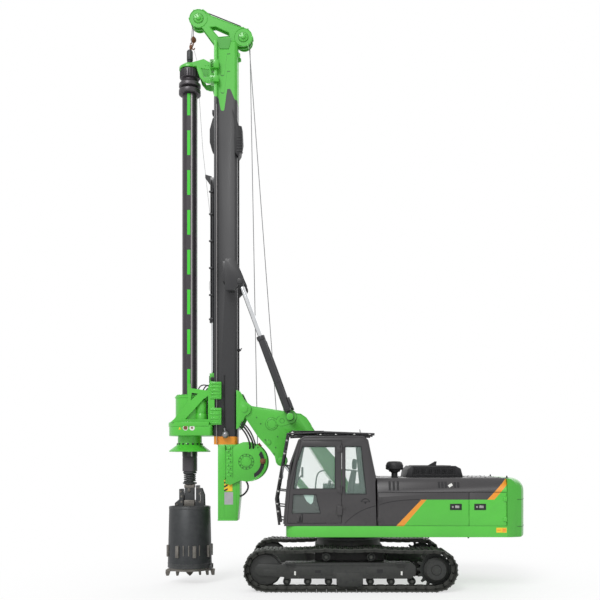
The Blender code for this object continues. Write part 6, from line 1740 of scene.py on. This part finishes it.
def buildCarriageDetail():
    x, deck = drill["x"], drill["deck"]
    lip = [hoop([(0.3, 4.098), (0.322, 4.098), (0.329, 4.104), (0.329, 4.128), (0.322, 4.135),
        (0.3, 4.135)], (x, 0, 0)),
        hoop([(0.305, deck - 0.002), (0.345, deck - 0.002), (0.345, deck + 0.018), (0.316, deck + 0.026)],
        (x, 0, 0)), hoop([(0.218, 4.148), (0.3, 4.148), (0.306, 4.156), (0.296, 4.166), (0.218, 4.166)],
        (x, 0, 0)), boltHeads(ringPlaces((x, 0, 4.166), 0.275, 18, axis="Z"), 0.012, 0.01,
        normal=(0, 0, 1)),
        boltHeads([place for place in ringPlaces((x, 0, deck), 0.43, 24, axis="Z") if place.x > 3.42],
        0.012, 0.011, normal=(0, 0, 1))]
    fittings("gearbox_rims", "carriage", limePaint, *lip)
    motors = []
    for y in (-0.18, 0.18):
        motors.append(spun([(0, deck), (0.15, deck), (0.15, deck + 0.018), (0.138, deck + 0.026),
            (0.138, 3.74), (0.128, 3.755), (0.138, 3.77), (0.138, 4.0), (0.12, 4.024), (0.093, 4.026),
            (0.093, 4.085), (0.08, 4.102), (0, 4.104)], (3.25, y, 0), sides=40))
        motors.append(boltHeads(ringPlaces((3.25, y, 4.024), 0.108, 8, axis="Z"), 0.01, 0.01,
            normal=(0, 0, 1)))
    fittings("drive_motors", "carriage", limePaint, *motors)
    ribs = []
    outer = drill["guideSide"]
    for low, high in drill["blocks"]:
        count = 5 if high > 4 else 4
        for number in range(count):
            z = low + (high - low) * (number + 0.5) / count
            ribs.append(block((2.795, 3.03), (outer - 0.004, outer + 0.016), (z - 0.013, z + 0.013),
                0.004))
            ribs.append(boltHeads([(2.835, outer + 0.001, z + 0.036), (2.985, outer + 0.001, z + 0.036)]
                if number < count - 1 else [(2.91, outer + 0.015, z)], 0.01, 0.009))
    fittings("guide_ribs", "carriage", limePaint, bothSides(*ribs))
    arch = [hose([(3.05, 0.3, 4.36), (3.14, 0.26, 4.4), (3.22, 0.22, 4.3), (3.25, 0.18, 4.12)], 0.014),
        hose([(3.05, 0.24, 4.34), (3.2, 0.16, 4.42), (3.36, 0.1, 4.36), (3.34, 0.14, 4.14),
        (3.28, 0.16, 4.08)], 0.013), hose([(3.06, -0.28, 4.36), (3.16, -0.24, 4.42), (3.24, -0.2, 4.28),
        (3.25, -0.18, 4.12)], 0.014), hose([(3.02, 0.27, 4.3), (3.1, 0.3, 4.16), (3.14, 0.26, 3.9),
        (3.12, 0.22, 3.62)], 0.012)]
    fittings("carriage_hoses", "carriage", rubberAndPaintedShade, *arch)
    triangle = plate([(3.725, 3.395), (3.665, 3.395), (3.695, 3.452)], 0.0, 0.002, 0)
    wide = carriageShape["gearboxHalf"]
    side = wide + 0.0002
    decals = []
    for px in (3.561, 3.417):
        y = side if px <= x else math.sqrt(wide ** 2 - (px - x) ** 2) + 0.0004
        decals.append(disc((px, 3.428), y, y + 0.002, 0.058, 0))
    fittings("round_labels", "carriage", whiteFilm, *decals)
    inner = [disc((3.561, 3.428), side + 0.0015, side + 0.0032, 0.044, 0),
        disc((3.417, 3.428), side + 0.0015, side + 0.0032, 0.022, 0)]
    fittings("label_centres", "carriage", bronze, *inner, slot="chassis_black")
    lean = math.atan2(3.695 - x, wide)
    setPlace(triangle, Matrix.Translation((3.69, math.sqrt(wide ** 2 - 0.155 ** 2) + 0.002, 0))
        @ Matrix.Rotation(-lean, 4, "Z") @ Matrix.Translation((-3.695, 0, 0)))
    fittings("warning_triangle", "carriage", yellowFilm, triangle)
    roundRod = turnedAlong([(0, 0), (0.0275, 0), (0.029, 0.002), (0.029, 2.93), (0, 2.934)],
        (3.025, 0, 4.6603), (3.025, 0, 7.6), 32)
    finish(roundRod, "crowd_shaft", "carriage", chrome, "crowd_rod")
    seat = [disc((3.025, 4.53), -0.09, 0.09, 0.045), block((3.085, 3.1), (-0.05, 0.05), (4.44, 4.6),
        0.004)]
    fittings("rod_anchor", "carriage", blackPaint, *seat)


def buildSleeve():
    x = drill["x"]
    profile = [(0.168, 3.03), (0.43, 2.912), (0.45, 2.91), (0.458, 2.914), (0.458, 2.93), (0.44, 2.946),
        (0.3, 3.052), (0.276, 3.08), (0.268, 3.11), (0.265, 3.256), (0.2155, 3.258), (0.215, 4.165),
        (0.21, 4.17), (0.172, 4.17), (0.168, 4.165), (0.168, 3.03)]
    sleeve = spun(profile, (x, 0, 0), sides=96)
    rib = plate([(0.262, 3.02), (0.345, 3.005), (0.285, 3.06), (0.262, 3.1)], -0.006, 0.006, 0.002)
    ribs = around(rib, 16, (x, 0, 0), math.pi / 16)
    finish(joined([sleeve, ribs]), "sleeve_shell", "drive_sleeve", limePaint, "drive_sleeve")
    # dark blocks in the sleeve between its ribs: painted shade
    slot = block((0.272, 0.292), (-0.02, 0.02), (3.03, 3.098), 0.004)
    slots = around(slot, 16, (x, 0, 0))
    fittings("sleeve_slot_shade", "drive_sleeve", rubberAndPaintedShade, slots)


def buildKelly():
    x, r, low = drill["x"], drill["kelly"], drill["kellyLow"]
    bore = r - 0.022
    profile = [(bore, low), (r + 0.001, low), (r + 0.004, low + 0.01), (r + 0.004, low + 0.3),
        (r, low + 0.31), (r, 10.86), (0.2, 10.862), (0.238, 10.874), (0.243, 10.885), (0.243, 10.96),
        (0.236, 10.974), (0.188, 10.992), (0.182, 11.012), (0.232, 11.03), (0.24, 11.04), (0.24, 11.104),
        (0.232, 11.116), (0.196, 11.142), (0.18, 11.16), (0.176, 11.2), (0.214, 11.225), (0.214, 11.395),
        (0.205, 11.42), (bore, 11.42), (bore, low)]
    finish(spun(profile, (x, 0, 0), sides=72), "kelly_tube", "kelly_outer", kellySteel, "kelly_outer")
    flute = block((0.208, 0.2235), (-0.013, 0.013), (11.235, 11.385), 0.006, 2)
    flutes = around(flute, 24, (x, 0, 0))
    bolts = boltHeads(ringPlaces((x, 0, 11.112), 0.212, 16, axis="Z"), 0.011, 0.01, normal=(0, 0, 1))
    lower = boltHeads(ringPlaces((x, 0, 10.878), 0.205, 16, axis="Z"), 0.011, 0.01, normal=(0, 0, -1))
    fittings("kelly_bearing", "kelly_outer", mouldedBlackAndShade, flutes, bolts, lower)
    key = block((-0.0345, 0.0345), (0.13, 0.1665), (low + 0.33, 10.845), 0.004, 1)
    keys = around(key, 3, (x, 0, 0))
    fittings("kelly_keys", "kelly_outer", keyPaint, keys)
    # a light strip beside each drive key: painted highlight
    edge = block((-0.078, -0.042), (0.13, 0.155), (low + 0.33, 10.845), 0.002, 1)
    edges = around(edge, 3, (x, 0, 0))
    fittings("kelly_key_highlights", "kelly_outer", wearAndHighlight, edges)
    studs = [boltHeads([(x + (r + 0.001) * math.cos(a), (r + 0.001) * math.sin(a), z)], 0.01, 0.004,
        normal=(math.cos(a), math.sin(a), 0)) for a in [math.radians(30 + 60 * n) for n in range(6)]
        for z in (2.52, 2.62, 2.72)]
    fittings("kelly_studs", "kelly_outer", toolSteel, *studs)
    core = [(0, 2.1883), (0.1, 2.1883), (0.15, 2.196), (0.156, 2.206), (0.156, 2.222), (0.148, 2.232),
        (0.082, 2.24), (0.075, 2.25), (0.075, 2.42), (0.145, 2.426), (0.15, 2.436), (0.15, 2.462),
        (0.135, 2.47), (0.137, 2.6), (0.069, 2.62), (0.069, 11.6), (0.06, 11.61), (0.06, 11.64),
        (0.069, 11.65), (0.069, 11.84), (0.052, 11.87), (0, 11.872)]
    finish(spun(core, (x, 0, 0), sides=56), "kelly_inner", "kelly_core", toolSteel, "kelly_core")
    turns, steps = 4, 20
    line = []
    for number in range(turns * steps + 1):
        a = 2 * math.pi * number / steps
        line.append((x + 0.121 * math.cos(a), 0.121 * math.sin(a),
            2.248 + 0.168 * number / (turns * steps)))
    fittings("shock_spring", "kelly_core", toolSteel, bead(line, 0.0165, sides=3))


def buildBucketDetail():
    x = drill["x"]
    skin = [(0.4815, 0.447), (0.4875, 0.35), (0.489, 0.35), (0.4845, 0.452), (0.4555, 1.69),
        (0.4495, 1.6985), (0.428, 1.6985), (0.428, 1.693), (0.4475, 1.69), (0.4815, 0.447)]
    wall = spun(skin, (x, 0, 0), sides=96)
    band = hoop([(0.482, 0.415), (0.4885, 0.42), (0.4885, 0.452), (0.482, 0.457)], (x, 0, 0))
    cap = hoop([(0.446, 1.64), (0.4595, 1.645), (0.459, 1.69), (0.452, 1.699)], (x, 0, 0))
    fittings("bucket_skin", "kelly_core", toolSteel, wall, band, cap)
    lug = block((0.47, 0.516), (-0.04, 0.04), (0.59, 0.85), 0.01)
    rib = block((0.474, 0.494), (-0.011, 0.011), (0.63, 0.86), 0.005)
    lugs = [around(lug, 8, (x, 0, 0), math.radians(20)),
            around(rib, 5, (x, 0, 0), math.radians(68), math.radians(14))]
    fittings("bucket_lugs", "kelly_core", toothSteel, *lugs)
    head = [boltHeads([(x + dx, 0.134, z) for dx, z in ((0.165, 1.8), (0.165, 1.92), (0.27, 1.74),
        (-0.24, 1.8), (-0.24, 1.98), (0.18, 2.03))], 0.02, 0.014), pinY((x, 2.06), -0.135, 0.135, 0.035,
        0.004, 28), pinY((x - 0.19, 2.1), -0.128, 0.128, 0.028, 0.004, 24), block((x - 0.115, x + 0.115),
        (-0.115, 0.115), (1.7, 1.84), 0.01), block((x - 0.11, x + 0.11), (-0.11, 0.11), (2.11, 2.184),
        0.008)]
    fittings("bucket_head_pins", "kelly_core", toothSteel, *head)
    # thin bright strips up the bucket head plates: painted highlight
    strips = [block((x + 0.176, x + 0.188), (0.1205, 0.1225), (1.86, 2.06), 0.001, 1),
        block((x - 0.262, x - 0.25), (0.1335, 0.1355), (1.78, 2.02), 0.001, 1)]
    fittings("bucket_highlight_strips", "kelly_core", zincAndHighlight, *strips, slot="tool_steel")
    bits = []
    for offset, _ in bucketShape["teeth"]:
        y, lean = (0.06, 0.012) if offset > 0 else (-0.06, -0.012)
        bits.append(bar((x + offset + lean * 0.4, y, 0.262), (x + offset + lean, y, 0.15), 0.03, 0.002,
            16, 0.01))
        bits.append(bar((x + offset, y, 0.3), (x + offset + lean * 0.5, y, 0.235), 0.036, 0.004, 16))
    bits.append(spun([(0, 0.3), (0.104, 0.296), (0.1, 0.27), (0.075, 0.232), (0.04, 0.18), (0.012, 0.146),
        (0, 0.143)], (x, 0, 0), sides=36))
    blade = plate([(0.02, 0.16), (0.05, 0.178), (0.118, 0.262), (0.118, 0.292), (0.02, 0.292)], -0.01,
        0.01, 0.002)
    bits.append(around(blade, 3, (x, 0, 0), math.radians(30)))
    fittings("gate_bits", "bucket_gate", toothSteel, *bits)


def rope(name, body, points, radius=0.0085, to=None, over=None):
    # a taut rope on one body; a rope that runs on to another body is left on neither, its place baked into
    # its mesh, and the two places it is given are not used
    piece = painted(bead(points, radius, sides=3), name, ropeSteel)
    if to:
        start, end = [(x + slewPlace.x, 0, z) for x, z in over]
        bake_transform(piece)
    else:
        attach(piece, body)


def buildRopes():
    (fx, fz), (rx, rz) = mast["frontSheave"], mast["rearSheave"]
    groove, aux = 0.139, mast["auxY"]
    over = []
    lean = math.degrees(math.atan2(fz - rz, fx - rx)) + 90
    for centre, first, last in (((rx, rz), 180, lean), ((fx, fz), lean, 0)):
        over += arc(centre, groove, first, last, 10)
    rope("main_rope", "mast", [(2.017, 0, 2.7), (rx - groove, 0, rz), *[(x, 0, z) for x, z in over[1:]]])
    rope("aux_rope", "mast", [(x, aux, z) for x, z in arc((rx, rz), groove, 215, lean, 12) + arc((fx, fz),
        groove, lean, 0, 10)])
    low = arc((rx, rz), groove, 215, 216, 1)[0]
    rope("aux_rope_run", "boom", [(1.6, aux, 3.675), (low[0], aux, low[1])], to="mast",
        over=((1.65, 3.7), low))
    rope("lift_rope", "mast", [(fx + groove, 0, fz), (3.503, 0, 12.02)], to="kelly_guide",
        over=((fx, fz), (3.503, 12.02)))
    swivel = [turnedAlong([(0, 0), (0.02, 0), (0.026, 0.01), (0.026, 0.05), (0.034, 0.065), (0.034, 0.1),
        (0.02, 0.12), (0, 0.122)], (3.52, 0, 11.874), (3.507, 0, 12.05), 28),
        loop([(3.505 + 0.022 * math.cos(a), 0, 12.01 + 0.03 * math.sin(a)) for a in [math.radians(30 * n)
        for n in range(12)]], 0.008, 3)]
    fittings("rope_swivel", "kelly_guide", bronze, *swivel)
    rope("hook_rope", "mast", [(fx + groove, aux, fz), (3.478, aux, 12.24)])
    ball = spun([(0, 0.075), (0.022, 0.072), (0.03, 0.058), (0.056, 0.034), (0.064, 0.0), (0.056, -0.034),
        (0.03, -0.056), (0.016, -0.07), (0, -0.072)], (3.474, aux, 12.175), sides=40)
    hookLine = [(3.474, aux, 12.11), (3.476, aux, 12.06), (3.5, aux, 12.03), (3.508, aux, 11.99),
        (3.49, aux, 11.955), (3.458, aux, 11.96), (3.446, aux, 11.99)]
    fittings("aux_hook", "mast", bronze, ball, hose(hookLine, 0.012))
    rope("hook_tie", "mast", [(3.462, aux, 11.955), (3.4, aux, 11.72), (3.27, aux - 0.05, 9.7),
        (2.97, aux - 0.05, 7.02)], 0.0035)


buildCarriage()
buildCarriageDetail()
buildSleeve()
buildKellyGuide()
buildKelly()
buildBucket()
buildBucketDetail()
buildRopes()
print("drive done")


# Nodes that keep their own shape, with rounded edges and their own finish
dress = (
    # node, body, material, edge, and the slot where it isn't the finish's own
    ("car_body", "undercarriage", blackPaint, 0.008),
    ("track_frame_left", "undercarriage", frameIron, 0.005),
    ("track_frame_right", "undercarriage", frameIron, 0.005),
    ("sprocket_left", "undercarriage", trackIron, 0.004, "chassis_black"),
    ("sprocket_right", "undercarriage", trackIron, 0.004, "chassis_black"),
    ("platform", "upper", limePaint, 0.008),
    ("cab_shell", "upper", cabPaint, 0.012),
    ("cab_door", "cab_door", cabPaint, 0.006),
    ("machinery_house", "upper", housePaint, 0.008),
    ("left_front_door", "left_front_door", housePaint, 0.005, "lime_paint"),
    ("left_rear_door", "left_rear_door", housePaint, 0.005, "lime_paint"),
    ("right_door", "right_door", housePaint, 0.005, "lime_paint"),
    ("engine_hood", "hood", mouldedBlackAndShade, 0.012),
    ("engine_block", "upper", toolSteel, 0.01),
    ("fuel_tank", "upper", graphitePaint, 0.012),
    ("boom", "boom", limePaint, 0.005),
    ("mast", "mast", mastEnamel, 0.005),
    ("mast_foot", "mast", limePaint, 0.006),
    ("pivot_bracket", "mast", limePaint, 0.005),
)
for node, body, material, edge, *slot in dress:
    drawn = cabFront if node in ("cab_shell", "cab_door") else None
    dressed(node, body, material, edge, drawn=drawn, slot=slot[0] if slot else None)
print("nodes dressed")

panes = {"left_pane": "upper", "right_pane": "upper", "windscreen": "upper", "rear_pane": "upper",
         "door_pane": "cab_door", "door_low_pane": "cab_door"}
for node, body in panes.items():
    material = lowGlass if node == "door_low_pane" else glass
    dressed(node, body, material, 0.001, 1, drawn=cabFront)
print("glass painted")
